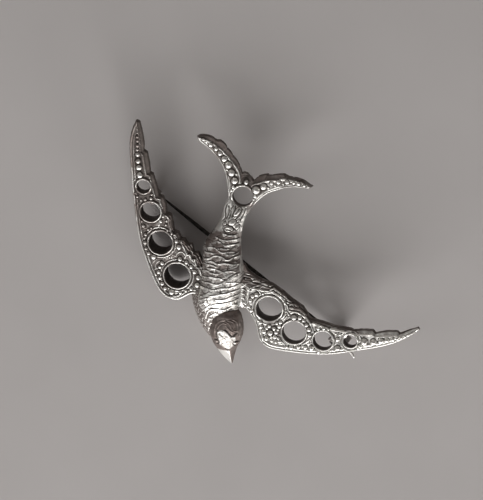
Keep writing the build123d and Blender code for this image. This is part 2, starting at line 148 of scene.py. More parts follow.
def distance_to(points, line, reach):
    """Distance of each point from a line of points, no more than reach."""
    line = np.asarray(line, float)
    out = np.full(len(points), float(reach))
    low, high = line.min(0) - reach, line.max(0) + reach
    near = np.flatnonzero(((points >= low) & (points <= high)).all(1))
    a, b = line[:-1], line[1:]
    ab = b - a
    length = np.maximum((ab**2).sum(1), SMALL)
    for start in range(0, len(near), BATCH):
        part = near[start : start + BATCH]
        p = points[part][:, None]
        t = np.clip(((p - a) * ab).sum(2) / length, 0, 1)
        gap = p - (a + t[..., None] * ab)
        out[part] = np.minimum(out[part], np.sqrt((gap**2).sum(2)).min(1))
    return out


def inside(points, loop):
    """True for the points within a closed loop."""
    out = np.zeros(len(points), bool)
    x, y = points[:, 0], points[:, 1]
    for (x0, y0), (x1, y1) in zip(loop, np.roll(loop, -1, 0)):
        crosses = (y0 > y) != (y1 > y)
        if crosses.any():
            at = x0 + (y - y0) * (x1 - x0) / ((y1 - y0) or SMALL)
            out ^= crosses & (x < at)
    return out


def resample(line, step=LOOP_STEP):
    line = np.asarray(line, float)
    along = np.concatenate([[0], np.cumsum(np.hypot(*np.diff(line, axis=0).T))])
    count = max(2, int(round(along[-1] / step)) + 1)
    at = np.linspace(0, along[-1], count)
    return np.stack([np.interp(at, along, line[:, i]) for i in range(line.shape[1])], 1)


def smooth_line(points, step=LOOP_STEP):
    """Natural cubic spline through points, sampled at even steps."""
    p = np.asarray(points, float)
    t = np.concatenate([[0], np.cumsum(np.hypot(*np.diff(p, axis=0).T))])
    h = np.diff(t)
    n = len(p)
    m = np.zeros((n, n))
    r = np.zeros_like(p)
    m[0, 0] = m[-1, -1] = 1
    for i in range(1, n - 1):
        m[i, i - 1 : i + 2] = h[i - 1], 2 * (h[i - 1] + h[i]), h[i]
        r[i] = 6 * ((p[i + 1] - p[i]) / h[i] - (p[i] - p[i - 1]) / h[i - 1])
    s = np.linalg.solve(m, r)
    fine = np.linspace(0, t[-1], max(8, int(t[-1] / step * 3)))
    k = np.clip(np.searchsorted(t, fine, "right") - 1, 0, n - 2)
    a, b, w = fine - t[k], t[k + 1] - fine, h[k]
    a, b, w = a[:, None], b[:, None], w[:, None]
    line = (s[k] * b**3 + s[k + 1] * a**3) / (6 * w)
    line += (p[k] / w - s[k] * w / 6) * b + (p[k + 1] / w - s[k + 1] * w / 6) * a
    return resample(line, step)


def circle(centre, radius):
    count = max(12, int(2 * math.pi * radius / LOOP_STEP))
    a = np.linspace(0, 2 * math.pi, count, endpoint=False)
    return np.asarray(centre) + radius * np.stack([np.cos(a), np.sin(a)], 1)


def offset_line(line, distance):
    """Line shifted to its left by a distance."""
    d = np.gradient(np.asarray(line, float), axis=0)
    d /= np.maximum(np.hypot(d[:, 0], d[:, 1]), SMALL)[:, None]
    return line + distance * np.stack([-d[:, 1], d[:, 0]], 1)


def lattice(loop):
    """Staggered points over a loop's box."""
    low, high = loop.min(0), loop.max(0)
    points = []
    for i, y in enumerate(np.arange(low[1], high[1], GRID * math.sqrt(0.75))):
        x = np.arange(low[0] + (i % 2) * GRID / 2, high[0], GRID)
        points.append(np.stack([x, np.full(len(x), y)], 1))
    return np.concatenate(points)


# Beads, rings and raised lines. Profiles are rows of distance and height.

# Rings of points in a bead: share of its radius, number of points
BEAD_RINGS = [(0.0, 1), (0.35, 6), (0.62, 11), (0.8, 15), (0.92, 17)]
BEAD_RINGS += [(share, 18) for share in (0.99, 1.08, 1.22, 1.45)]
BEAD_LIFT = 0.12
BEAD_PIT = 0.11
BEAD_ROUND = 0.92
BEAD_ROOM = 0.8
RING_OFFSETS = [0.05, 0.12, 0.2, 0.28, 0.36, 0.43, 0.5, 0.58, 0.68, 0.78, 0.9]
STEP_OFFSETS = [-0.07, 0.05, 0.12, 0.2, 0.28, 0.36]
BEZEL = [
    (-0.1, 0.12), (0.0, 0.2), (0.05, 0.31), (0.12, 0.37), (0.2, 0.34), (0.28, 0.22), (0.36, 0.02),
    (0.45, -0.1), (0.65, 0.0),
]
SECOND_RING = [(0.55, -0.09), (0.64, 0.08), (0.73, 0.15), (0.83, 0.06), (0.92, -0.06), (1.1, 0.0)]
SLEEVE_WALL = 0.52


def bead_points(beads):
    points = []
    for x, y, size in beads:
        for share, count in BEAD_RINGS:
            a = np.linspace(0, 2 * math.pi, count, endpoint=False) + share
            ring = share * size / 2
            points.append(np.array([x, y]) + ring * np.stack([np.cos(a), np.sin(a)], 1))
    return np.concatenate(points)


def add_beads(points, height, beads):
    """Round beads, each in its own small pit."""
    for x, y, size in beads:
        radius = size / 2
        r = apart(points, x, y)
        pit = np.clip(1 - np.abs(r / radius - 1.1) / 0.38, 0, 1)
        height = height - BEAD_PIT * soft_step(pit) * min(1, size)
        dome = BEAD_LIFT * size + np.sqrt(np.maximum(radius**2 - r**2, 0)) * BEAD_ROUND
        height = np.where(r < radius, np.maximum(height, dome), height)
    return height


def clear_of(points, beads):
    """The points that lie outside the beads."""
    for x, y, size in beads:
        points = points[apart(points, x, y) > BEAD_ROOM * size]
    return points


def add_ridge(points, height, line, width, rise):
    """Raised line with a round top and a fine groove at each side."""
    d = distance_to(points, line, 1.6 * width) / (width / 2)
    return height + rise * (np.clip(1 - d**2, 0, 1) - 0.35 * soft_step(1 - np.abs(d - 1.5) / 0.7))


def seat_feet(points, seats):
    """Depth of the sleeves that stand out of the back around the seats."""
    depth = np.zeros(len(points))
    for x, y, size, _, foot in seats:
        r = apart(points, x, y) - size / 2
        depth = np.maximum(depth, foot * soft_step((SLEEVE_WALL - r) / 0.16))
    return depth


def walls_of(points, seats):
    """Hollowness of a plate's walls, with painted shade making the walls in its seats darker."""
    walls = np.full(len(points), OUTER_WALL)
    for x, y, size, _, _ in seats:
        walls[apart(points, x, y) < size / 2 + 0.1] = SHADED_SEAT_WALL
    return walls


def add_seats(points, height, seats, worn_rims):
    """Rims around the seats; worn_rims gives a worn one's direction and half angle."""
    for number, (x, y, size, double, _) in enumerate(seats):
        r = apart(points, x, y) - size / 2
        around = (points - [x, y]) / (r + size / 2)[:, None]
        profile = table(r, BEZEL) * (0.85 + 0.3 * noise(around * 2 + size, 0.9, 15))
        if number in worn_rims:
            toward, half = np.radians(worn_rims[number])
            profile = profile * soft_step((np.abs(off_direction(around, toward)) - half) / 0.5)
        height = np.where(r < 0.45, profile, height + np.where(r < 0.7, profile, 0))
        if double:
            height = height + np.where(r > 0.55, table(r, SECOND_RING), 0)
    return height


# Meshes


def new_piece(name, points, faces, finish, material):
    """Smooth mesh in metres that rides on the bird, with its finish values for the shader, which hold
    tarnish and polish and, on some pieces, painted shade and painted highlights.
    """
    mesh = bpy.data.meshes.new(name)
    mesh.from_pydata((np.asarray(points) * MM).tolist(), [], faces)
    mesh.update()
    mesh.polygons.foreach_set("use_smooth", np.ones(len(mesh.polygons), bool))
    layer = mesh.attributes.new("finish", "FLOAT_COLOR", "POINT")
    values = np.ones((len(points), 4), np.float32)
    values[:, :3] = np.clip(finish, 0, 1)
    layer.data.foreach_set("color", values.ravel())
    mesh.materials.append(material)
    piece = bpy.data.objects.new(name, mesh)
    bpy.context.scene.collection.objects.link(piece)
    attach(piece, BIRD)
    return piece


def triangles_of(points, loops, keep):
    """Triangles over a set of points that follow the loops and pass the keep test."""
    verts = [Vector(p) for p in points]
    edges, start = [], len(verts)
    for loop in loops:
        verts += [Vector(p) for p in loop]
        count = len(loop)
        edges += [(start + i, start + (i + 1) % count) for i in range(count)]
        start += count
    found = delaunay_2d_cdt(verts, edges, [], 0, 1e-5)
    flat = np.array([(v.x, v.y) for v in found[0]])
    faces = np.array([f for f in found[2] if len(f) == 3])
    corners = flat[faces]
    area = np.cross(corners[:, 1] - corners[:, 0], corners[:, 2] - corners[:, 0])
    faces[area < 0] = faces[area < 0][:, ::-1]
    faces = faces[(np.abs(area) > 1e-9) & keep(corners.mean(1))]
    used, index = np.unique(faces, return_inverse=True)
    return flat[used], index.reshape(faces.shape)


def rim_edges(faces):
    """Edges with one face, in the faces' own direction."""
    directed = np.concatenate([faces[:, [0, 1]], faces[:, [1, 2]], faces[:, [2, 0]]])
    size = directed.max() + 1
    code = directed[:, 0] * size + directed[:, 1]
    back = directed[:, 1] * size + directed[:, 0]
    return directed[~np.isin(code, back)]


def spread(values, faces, rounds):
    """Values averaged with their neighbours over the mesh."""
    e = np.concatenate([faces[:, [0, 1]], faces[:, [1, 2]], faces[:, [2, 0]]])
    e = np.concatenate([e, e[:, ::-1]])
    count = np.bincount(e[:, 0], minlength=len(values))
    for _ in range(rounds):
        total = np.bincount(e[:, 0], weights=values[e[:, 1]], minlength=len(values))
        values = 0.4 * values + 0.6 * total / np.maximum(count, 1)
    return values


WALL_ROWS = 5
WALL_BULGE = 0.08
# Hollowness of flat metal, of the back and of the walls, with the seats' walls darker as painted shade, and
# what relief adds to it
FLAT_TONE = 0.5
BACK_TONE = 0.55
OUTER_WALL = 0.62
SHADED_SEAT_WALL = 1.1
BROAD_RELIEF = 1.5
FINE_RELIEF = 2.0


def relief_plate(name, points, loops, keep, shape, place, material, tone, wall_shade):
    """Closed plate whose face carries relief.

    shape gives the face's height and the plate's depth at flat points, place puts flat points with a
    height into the part's frame, tone gives each point's shade, stain and polish, and wall_shade the
    hollowness of the walls.
    """
    flat, faces = triangles_of(points, loops, keep)
    count = len(flat)
    height, depth = shape(flat)
    shade, stain, polish = tone(flat)
    hollow = FLAT_TONE + shade + BROAD_RELIEF * (spread(height, faces, 28) - height)
    hollow += FINE_RELIEF * (spread(height, faces, 5) - height)
    rim = rim_edges(faces)
    out = np.zeros((count, 2))
    along = flat[rim[:, 1]] - flat[rim[:, 0]]
    side = np.stack([along[:, 1], -along[:, 0]], 1)
    side /= np.maximum(np.hypot(side[:, 0], side[:, 1]), SMALL)[:, None]
    np.add.at(out, rim[:, 0], side)
    np.add.at(out, rim[:, 1], side)
    out /= np.maximum(np.hypot(out[:, 0], out[:, 1]), SMALL)[:, None]
    edge = np.unique(rim)
    slot_of = np.zeros(count, int)
    slot_of[edge] = np.arange(len(edge))
    layers = [place(flat, height)]
    tones = [np.column_stack([hollow, stain, polish])]
    rough = noise(flat[edge], 0.5, 5)
    walls = wall_shade(flat[edge])
    for row in range(1, WALL_ROWS):
        t = row / WALL_ROWS
        swell = WALL_BULGE * math.sin(math.pi * t) * (1 + 0.6 * rough)
        moved = flat[edge] + out[edge] * swell[:, None]
        level = height[edge] + (-depth[edge] - height[edge]) * t
        layers.append(place(moved, level))
        tones.append(np.column_stack([walls + 0.1 * rough, stain[edge], 0.6 * polish[edge]]))
    layers.append(place(flat, -depth + 0.04 * noise(flat, 1.1, 9)))
    tones.append(np.column_stack([np.full(count, BACK_TONE), stain, 0.5 * polish]))
    first = [0, count] + [count + len(edge) * r for r in range(1, WALL_ROWS)]

    def at(row, vertex):
        if row == 0:
            return vertex
        if row == WALL_ROWS:
            return first[WALL_ROWS] + vertex
        return first[row] + slot_of[vertex]

    all_faces = faces.tolist()
    all_faces += (faces[:, ::-1] + first[WALL_ROWS]).tolist()
    for row in range(WALL_ROWS):
        a, b = rim[:, 0], rim[:, 1]
        all_faces += np.stack([at(row, b), at(row, a), at(row + 1, a), at(row + 1, b)], 1).tolist()
    return new_piece(name, np.concatenate(layers), all_faces, np.concatenate(tones), material)


# Wings, in millimetres along the wing and across it, the front edge at the high side.
# Seats: place, diameter, second ring, depth of the sleeve. Beads: place, diameter.
# Burrs in the seats: seat, place, depth, half angle. Border: distance from the front edge, height.
# Ridges: width and height, then the lines that have them.

LEFT_WING = dict(
    root=(-6.37, -3.96),
    angle=108.4,
    side=1,
    length=36.0,
    lift=3.0,
    # Painted shade: this wing is made darker towards its tip.
    painted_tip_shade=0.4,
    front_highlight=0.0,
    worn_rims={},
    front=[
        (-2.16, -0.34), (-0.36, 1.68), (-0.72, 4.62), (1.04, 7.35), (4.32, 8.23), (8.32, 8.4),
        (13.7, 8.11), (18.9, 6.97), (24.0, 5.67), (28.9, 4.12), (33.7, 2.14), (36.0, 0.17),
    ],
    trailing=[
        (35.5, -0.35), (33.0, 0.0), (31.0, 0.5), (30.0, 0.95), (29.4, 0.5), (27.2, 0.85), (25.4, 1.35),
        (24.9, 0.95), (22.5, 1.1), (20.6, 1.35), (20.0, 0.65), (18.3, 0.75), (16.8, 1.2), (16.1, 0.45),
        (14.3, 0.75), (12.8, 1.05), (12.3, 0.3), (10.85, 0.2), (10.65, -0.4), (9.5, -0.6), (9.25, -1.45),
        (7.5, -1.2), (7.2, -2.05), (5.0, -2.3), (2.5, -1.95), (1.2, -2.2), (1.1, -4.0), (-1.8, -3.5),
    ],
    face_edges=[
        [
            (-2.5, -2.0), (-0.6, -1.15), (0.5, -1.0), (2.5, -1.2), (4.35, -1.5), (4.55, -1.05),
            (6.3, -1.15), (6.45, -0.55), (7.5, -0.45), (7.7, -0.1), (8.7, 0.0), (10.35, 0.25),
            (10.55, -0.05), (10.8, 0.6), (12.2, 0.8), (12.4, 1.35), (13.6, 1.3), (16.0, 1.0),
            (16.8, 1.75), (19.8, 1.25), (20.3, 2.0), (22.5, 1.75), (24.9, 1.5), (25.4, 2.05), (27.0, 1.7),
            (29.2, 1.25), (29.9, 1.6), (31.5, 1.0), (33.5, 0.5), (35.3, 0.1), (36.2, 0.0),
        ],
        [
            (-2.5, -9.0), (0.5, -9.0), (2.5, -1.7), (5.0, -1.85), (6.9, -1.6), (7.2, -1.2), (9.0, -1.05),
            (9.4, -0.45), (10.5, -0.3), (10.9, -9.0), (36.2, -9.0),
        ],
    ],
    border=[
        (0.0, -0.2), (0.06, 0.02), (0.16, 0.2), (0.28, 0.26), (0.4, 0.2), (0.5, 0.04), (0.58, -0.02),
        (0.68, 0.1), (0.78, 0.14), (0.9, 0.08), (1.0, -0.05), (1.15, -0.04), (1.35, 0.0),
    ],
    border_share=[(-0.1, 1.0), (0.6, 1.0), (0.8, 0.75), (1.0, 0.45)],
    seats=[
        (4.14, 3.4, 5.1, True, 2.5), (11.52, 4.28, 4.7, True, 2.6), (18.04, 3.99, 3.9, False, 1.3),
        (23.3, 3.49, 2.65, False, 0.3),
    ],
    beads=[
        (1.2, 5.6, 1.1), (0.55, 3.95, 0.7), (0.6, 2.75, 0.65), (0.7, 1.6, 0.75), (1.15, 0.2, 1.05),
        (2.5, -0.5, 0.95), (3.85, -0.2, 0.85), (5.0, 0.1, 0.8), (6.15, 0.7, 0.8), (7.2, 1.7, 0.9),
        (2.3, 6.6, 0.8), (3.4, 6.8, 0.8), (4.6, 6.85, 0.75), (5.85, 6.7, 0.75), (6.8, 6.1, 0.75),
        (7.4, 5.4, 0.85), (-0.3, -0.35, 0.6), (9.1, 6.6, 1.0), (10.1, 7.3, 0.75), (11.2, 7.45, 0.7),
        (12.4, 7.2, 0.85), (13.3, 7.05, 0.55), (13.95, 6.55, 0.7), (14.75, 5.7, 0.5), (14.85, 5.0, 0.5),
        (15.7, 6.35, 0.7), (16.7, 6.3, 0.5), (15.6, 2.75, 0.7), (16.35, 1.95, 0.5), (14.6, 2.0, 0.5),
        (15.3, 1.6, 0.45), (9.55, 1.1, 1.0), (10.85, 1.15, 0.85), (12.6, 1.55, 0.55), (13.5, 2.1, 0.5),
        (20.65, 4.1, 0.6), (20.55, 2.95, 0.65), (21.3, 2.55, 0.55), (20.8, 4.95, 0.5), (21.7, 5.4, 0.55),
        (22.5, 5.55, 0.4), (25.65, 3.35, 1.15), (27.2, 2.95, 1.15), (28.45, 2.65, 1.05),
        (29.7, 2.25, 0.95), (30.6, 1.95, 0.7), (31.35, 1.65, 0.75), (32.25, 1.3, 0.65), (33.0, 1.05, 0.6),
        (33.75, 0.75, 0.5), (34.5, 0.5, 0.42),
    ],
    burrs=[(2, (19.38, 3.29), 0.55, 0.16)],
    ridges={
        (0.2, 0.1): [
            [(14.7, 3.6), (15.2, 3.2), (15.8, 3.4)], [(25.9, 2.15), (27.4, 1.95), (28.9, 1.55)],
        ],
        (0.2, 0.12): [
            [(7.9, 4.19), (8.4, 3.84), (7.95, 3.6)], [(7.85, 3.25), (8.41, 2.75), (8.0, 2.5)],
            [(7.4, 4.7), (7.9, 5.0), (8.3, 4.6), (8.1, 4.3)], [(19.8, 6.2), (20.5, 5.6), (20.7, 5.4)],
        ],
        (0.22, 0.12): [
            [(5.3, 7.3), (6.1, 7.6), (6.6, 7.2), (6.7, 6.8)],
            [(14.6, 7.2), (15.2, 6.6), (15.1, 5.8), (15.6, 5.4)], [(24.9, 4.9), (25.2, 4.1), (24.9, 3.0)],
            [(17.0, 1.9), (18.4, 1.55), (19.6, 1.6)], [(21.0, 2.1), (22.4, 1.95), (24.2, 1.75)],
        ],
        (0.22, 0.13): [
            [(6.5, 6.7), (7.2, 6.9), (7.75, 6.4), (7.9, 5.6)],
        ],
        (0.22, 0.14): [
            [(10.46, -0.1), (9.48, -0.55), (8.95, -0.81)],
            [(5.6, -0.3), (4.57, -0.95), (3.94, -1.25), (3.0, -1.3)],
        ],
        (0.24, 0.12): [
            [(7.6, 7.6), (8.1, 7.0), (8.5, 6.2)],
        ],
        (0.24, 0.13): [
            [(13.4, 1.2), (14.4, 1.1), (15.6, 1.0), (16.4, 1.4)],
        ],
        (0.24, 0.16): [
            [(9.2, -1.15), (8.62, -1.3), (7.6, -1.1)],
            [(7.8, -1.0), (7.2, -1.7), (6.8, -1.95), (5.7, -2.05), (4.6, -2.15), (3.9, -2.1)],
            [(6.34, -0.95), (5.98, -1.28), (5.14, -1.39), (4.59, -1.6), (3.83, -1.7), (2.67, -1.58)],
        ],
        (0.24, 0.17): [
            [(7.11, 0.75), (7.5, 0.05), (7.4, -0.4), (6.5, -0.5), (5.85, -0.7)],
        ],
        (0.26, 0.14): [
            [(8.85, 3.4), (9.12, 2.53)],
        ],
        (0.26, 0.15): [
            [(12.0, 0.95), (12.9, 1.7), (13.9, 2.4), (14.5, 3.2)],
        ],
        (0.26, 0.16): [
            [(7.99, 2.34), (8.45, 1.75), (8.55, 1.2), (8.2, 0.69), (7.7, 0.45)],
        ],
        (0.32, 0.16): [
            [(10.33, 0.27), (9.37, -0.24), (8.66, -0.39), (7.96, -0.93)],
        ],
        (0.34, 0.2): [
            [(0.9, 7.0), (0.35, 6.3), (0.1, 5.2), (0.15, 4.3)],
        ],
        (0.5, 0.14): [
            [(2.9, -1.5), (1.9, -1.35), (1.0, -1.2), (0.0, -1.1)],
        ],
    },
)

RIGHT_WING = dict(
    root=(2.77, -5.66),
    angle=-5.6,
    side=-1,
    length=34.1,
    lift=3.5,
    # Painted highlight: this wing is made lighter towards its tip.
    painted_tip_shade=-0.2,
    # Painted highlight along the front edge.
    front_highlight=0.22,
    worn_rims={0: (80.0, 42.0)},
    front=[
        (0.03, 1.61), (1.71, 3.5), (2.66, 5.48), (3.34, 7.56), (4.84, 8.98), (7.67, 9.45), (13.1, 9.26),
        (18.1, 8.46), (22.9, 6.8), (27.7, 4.95), (31.7, 2.5), (34.1, 0.25),
    ],
    trailing=[
        (33.8, -0.1), (32.2, 0.8), (30.5, 1.85), (30.0, 1.5), (28.0, 1.85), (25.9, 2.75), (25.3, 2.2),
        (23.3, 2.5), (21.6, 3.0), (21.0, 2.75), (19.0, 2.8), (17.6, 2.8), (17.1, 2.65), (15.2, 2.35),
        (13.3, 2.2), (12.6, 1.8), (12.1, 1.0), (11.2, -0.1), (10.0, -0.7), (9.2, -1.1), (8.0, -1.85),
        (7.2, -2.45), (6.0, -3.1), (4.9, -3.7), (3.0, -4.2), (1.0, -4.9), (-0.3, -5.8), (-1.09, -7.0),
        (-4.43, -6.8), (-4.43, 1.6),
    ],
    face_edges=[
        [
            (-5.0, -3.6), (-1.0, -3.4), (0.5, -2.6), (1.5, -2.75), (3.0, -2.5), (5.0, -2.55),
            (6.7, -1.85), (7.7, -0.8), (8.3, 0.1), (8.7, 0.9), (10.1, 0.75), (11.0, 0.95), (12.2, 1.75),
            (13.3, 2.75), (13.7, 2.65), (15.2, 2.9), (17.0, 3.3), (17.3, 3.15), (19.3, 3.25),
            (21.2, 3.15), (21.5, 3.5), (23.2, 3.3), (25.3, 2.85), (25.8, 3.25), (27.8, 2.7), (29.9, 2.2),
            (30.4, 2.4), (32.2, 1.45), (34.2, 0.4),
        ],
        [
            (-5.0, -4.4), (0.3, -3.9), (1.4, -3.5), (3.0, -3.35), (4.9, -3.05), (5.2, -3.3), (6.9, -2.35),
            (7.8, -1.6), (8.2, -1.25), (9.1, -0.6), (9.6, -0.05), (10.6, 0.1), (11.3, 0.55), (12.2, 1.35),
            (12.6, -9.0), (34.2, -9.0),
        ],
    ],
    border=[
        (0.0, -0.12), (0.06, 0.1), (0.16, 0.24), (0.26, 0.24), (0.36, 0.08), (0.44, -0.02), (0.54, 0.14),
        (0.68, 0.24), (0.85, 0.2), (1.0, 0.06), (1.15, -0.05), (1.35, 0.0),
    ],
    border_share=[(-0.1, 1.0), (0.6, 1.0), (0.8, 0.8), (1.0, 0.4)],
    seats=[
        (4.71, 1.2, 5.1, True, 1.6), (10.13, 5.24, 4.7, False, 0.2), (15.99, 5.95, 3.9, False, 0.2),
        (21.3, 5.1, 2.65, True, 0.2),
    ],
    beads=[
        (1.2, 1.95, 0.8), (0.5, 1.2, 0.8), (0.8, -0.05, 0.8), (1.2, -0.95, 0.8), (1.95, -1.4, 0.85),
        (3.2, -1.75, 0.55), (4.8, 7.35, 0.9), (5.9, 7.7, 0.65), (6.8, 7.85, 0.65), (7.5, 7.6, 0.75),
        (5.75, 6.95, 0.6), (6.45, 6.8, 0.85), (7.15, 6.95, 0.6), (5.45, 6.1, 1.05), (4.2, 6.0, 0.9),
        (6.6, 5.8, 0.8), (3.5, 5.05, 0.9), (4.7, 5.2, 0.7), (5.15, 4.7, 0.75), (6.1, 5.1, 0.8),
        (6.9, 5.2, 0.6), (3.35, 4.2, 0.8), (7.1, 4.45, 0.85), (6.55, 3.9, 0.7), (7.25, 3.55, 0.85),
        (9.0, 8.5, 0.6), (9.9, 8.45, 0.95), (11.3, 8.1, 0.85), (12.15, 7.85, 0.55), (12.7, 8.0, 0.8),
        (13.9, 7.95, 0.95), (13.25, 5.3, 0.85), (13.0, 4.2, 0.85), (12.4, 3.35, 0.8), (9.8, 2.2, 1.05),
        (10.95, 2.05, 0.85), (11.7, 2.5, 0.6), (14.75, 3.6, 0.8), (15.9, 3.45, 0.7), (16.8, 3.55, 0.45),
        (15.4, 8.45, 0.65), (19.0, 7.05, 1.1), (18.8, 5.25, 0.85), (19.1, 4.1, 0.65), (18.3, 4.15, 0.5),
        (20.2, 3.65, 0.45), (23.4, 5.75, 0.85), (24.0, 4.75, 1.35), (25.8, 4.45, 1.2), (27.2, 3.9, 1.1),
        (28.3, 3.55, 1.0), (29.4, 3.15, 0.85), (30.3, 2.85, 0.65), (31.05, 2.5, 0.65),
        (31.75, 2.05, 0.55), (32.35, 1.65, 0.5), (32.9, 1.3, 0.48), (33.4, 0.95, 0.35),
    ],
    burrs=[(2, (17.33, 5.36), 0.5, 0.2), (3, (20.54, 4.51), 0.4, 0.3)],
    ridges={
        (0.22, 0.1): [
            [(0.2, -2.7), (0.5, -2.0), (0.1, -1.3)],
        ],
        (0.22, 0.12): [
            [(25.9, 3.45), (27.6, 3.0), (29.6, 2.45)],
        ],
        (0.24, 0.1): [
            [(17.4, 3.5), (19.4, 3.5), (21.0, 3.4)],
        ],
        (0.24, 0.12): [
            [(6.8, 6.3), (7.5, 6.1), (7.8, 5.5)], [(13.1, 7.3), (13.6, 6.9), (14.0, 6.5)],
            [(13.4, 3.3), (14.2, 3.1), (15.6, 3.05), (17.0, 3.5)],
            [(21.6, 3.7), (23.2, 3.6), (25.2, 3.1)],
        ],
        (0.24, 0.14): [
            [(-0.48, -3.25), (0.32, -3.54), (1.19, -3.66)], [(7.47, -0.6), (8.19, -0.02)],
            [(-1.1, -0.5), (-0.5, -0.2), (-0.1, 0.4)],
        ],
        (0.24, 0.16): [
            [(2.59, -4.01), (3.29, -4.12)], [(-1.1, -2.2), (-0.4, -1.9), (0.1, -1.6)],
            [(-1.2, -1.3), (-0.6, -1.1), (-0.1, -0.6)],
        ],
        (0.26, 0.13): [
            [(23.0, 6.3), (22.9, 5.4), (23.3, 4.2), (22.9, 3.7)],
        ],
        (0.26, 0.14): [
            [(2.5, -2.75), (3.09, -3.3)], [(7.3, 3.4), (8.0, 2.7), (8.4, 2.2)],
        ],
        (0.26, 0.16): [
            [(4.2, -3.3), (4.94, -3.55)], [(6.6, -1.87), (7.57, -1.2)],
            [(11.8, 1.5), (12.6, 2.2), (13.3, 3.1)],
        ],
        (0.28, 0.16): [
            [(1.64, -2.51), (2.22, -2.25), (2.65, -1.79)], [(6.92, -2.4), (7.29, -2.15), (7.79, -1.65)],
        ],
        (0.3, 0.14): [
            [(-0.67, -5.18), (0.16, -5.12)], [(17.6, 8.2), (18.1, 7.2), (18.2, 5.8), (17.7, 4.4)],
            [(5.4, -2.95), (6.5, -2.35), (7.5, -1.75)],
        ],
        (0.3, 0.18): [
            [(8.9, 8.9), (8.5, 8.1), (7.8, 7.5)], [(7.4, 6.2), (7.9, 6.8), (8.4, 7.5), (9.2, 8.0)],
            [(11.9, 7.6), (12.7, 7.0), (13.5, 6.1), (14.0, 5.3), (13.75, 4.2), (13.2, 3.2), (12.4, 2.3)],
            [(14.8, 7.8), (14.1, 7.2), (13.5, 6.3)], [(7.9, 1.1), (8.35, 1.4), (8.73, 1.86)],
        ],
        (0.32, 0.2): [
            [(0.93, -4.0), (1.7, -4.08), (2.38, -3.88)],
        ],
        (0.34, 0.16): [
            [(6.9, 3.2), (7.6, 2.5), (8.1, 1.7)], [(8.6, 0.3), (9.6, 0.35), (10.7, 0.45), (11.8, 1.2)],
            [(8.1, -0.6), (9.0, -0.35), (9.9, -0.15)],
        ],
        (0.34, 0.2): [
            [(-0.58, -4.28), (0.14, -4.24), (0.91, -4.28)],
            [(1.06, -2.78), (2.11, -3.27), (3.06, -3.62), (3.86, -3.35)],
            [(9.0, 1.41), (9.75, 1.12), (10.88, 1.34), (11.9, 1.9)],
        ],
        (0.36, 0.16): [
            [(4.6, 8.5), (4.1, 7.8), (3.95, 6.8)],
        ],
        (0.36, 0.2): [
            [(8.1, -1.1), (8.99, -0.75)],
        ],
        (0.36, 0.22): [
            [(8.63, -0.15), (9.36, -0.4), (10.35, 0.0)],
        ],
        (0.4, 0.16): [
            [(-1.0, -4.1), (1.4, -3.9), (3.0, -3.7), (4.6, -3.35)],
            [(-1.5, -4.9), (0.5, -4.5), (2.2, -4.15)],
        ],
        (0.4, 0.22): [
            [(8.7, 0.55), (9.81, 0.55), (10.81, 0.66), (11.6, 1.1)],
        ],
        (0.4, 0.24): [
            [(4.54, -2.7), (5.0, -3.0), (5.56, -2.9), (6.26, -2.6), (6.76, -2.11)],
        ],
        (0.5, -0.14): [
            [(-1.1, -3.2), (0.0, -2.7), (0.7, -2.3)],
        ],
        (0.9, -0.2): [
            [(-0.5, -2.4), (-0.4, -1.2), (-0.3, 0.0), (0.1, 1.0)],
        ],
    },
)

WING_ROOT_THICKNESS = 2.0
WING_TIP_THICKNESS = 1.2
FRONT_ROOM = 1.2
SEAT_ROOM = 0.95
HOLE_ROOM = 0.03
EDGE_ROOM = 0.035
BEVEL_DROP = 0.16
BEVEL_SLOPE = 0.24
LAYER_DROP = 0.16
EDGE_ROUND = 0.14


def plane_turn(blade):
    """Matrix from a wing's or prong's own directions, along and across it, to the plane's."""
    return turn_z(blade["angle"])[:2, :2] * [1, blade["side"]]


def wing_frame(wing, flat, height):
    """Flat points of a wing at a height over its face, in the part's frame."""
    share = flat[:, 0] / wing["length"]
    slope = 2 * wing["lift"] * np.abs(share) / wing["length"]
    size = np.hypot(slope, 1)
    moved = np.stack([flat[:, 0] - slope / size * height, flat[:, 1]], 1)
    level = wing["lift"] * share * np.abs(share) + height / size
    return to_part(np.column_stack([moved @ plane_turn(wing).T + wing["root"], level]))


def layered_edge(flat, edges, height):
    """Feather layers below each edge, which falls away to the outline."""
    u, v = flat[:, 0], flat[:, 1]
    for k, rows in enumerate(edges):
        below = table(u, rows) - v
        drop = BEVEL_DROP if k == 0 else LAYER_DROP
        height = height - drop * soft_step((below + 0.05) / 0.1)
        if k == 0:
            height = height - BEVEL_SLOPE * np.clip(below - 0.05, 0, 1.6)
        lip = np.clip(1 - ((below + 0.2) / 0.16) ** 2, 0, 1)
        height = height + 0.13 * lip
    return height


def lit_tone(flat, dullness_and_painted_shade, shaded_bevel):
    """Shade, stain and polish of a plate, in loose patches. The dullness value adds stain, takes away
    polish and adds painted shade, and below zero it paints a highlight instead; the bevel, which faces away
    from the light, gets more stain and less polish, partly as painted shade.
    """
    stain = 0.35 + 0.3 * noise(flat, 3.0, 21) + 0.2 * noise(flat, 0.9, 22) + dullness_and_painted_shade + 0.35 * shaded_bevel
    polish = 0.55 + 0.3 * noise(flat, 2.2, 23) + 0.2 * noise(flat, 0.7, 24) - dullness_and_painted_shade - 0.35 * shaded_bevel
    return 0.5 * dullness_and_painted_shade * np.ones(len(flat)), np.clip(stain, 0, 1), np.clip(polish, 0, 1)


def wing_thickness(share):
    return WING_ROOT_THICKNESS + (WING_TIP_THICKNESS - WING_ROOT_THICKNESS) * np.clip(share, 0, 1)


def seat_holes(wing):
    """Outlines of a wing's seats, with the burrs left in them by the casting."""
    holes = [circle((x, y), size / 2) for x, y, size, _, _ in wing["seats"]]
    for number, spot, deep, wide in wing["burrs"]:
        x, y, size = wing["seats"][number][:3]
        out = holes[number] - [x, y]
        off = off_direction(out, math.atan2(spot[1] - y, spot[0] - x))
        holes[number] = [x, y] + out * (1 - deep / (size / 2) * np.exp(-((off / wide) ** 2)))[:, None]
    return holes


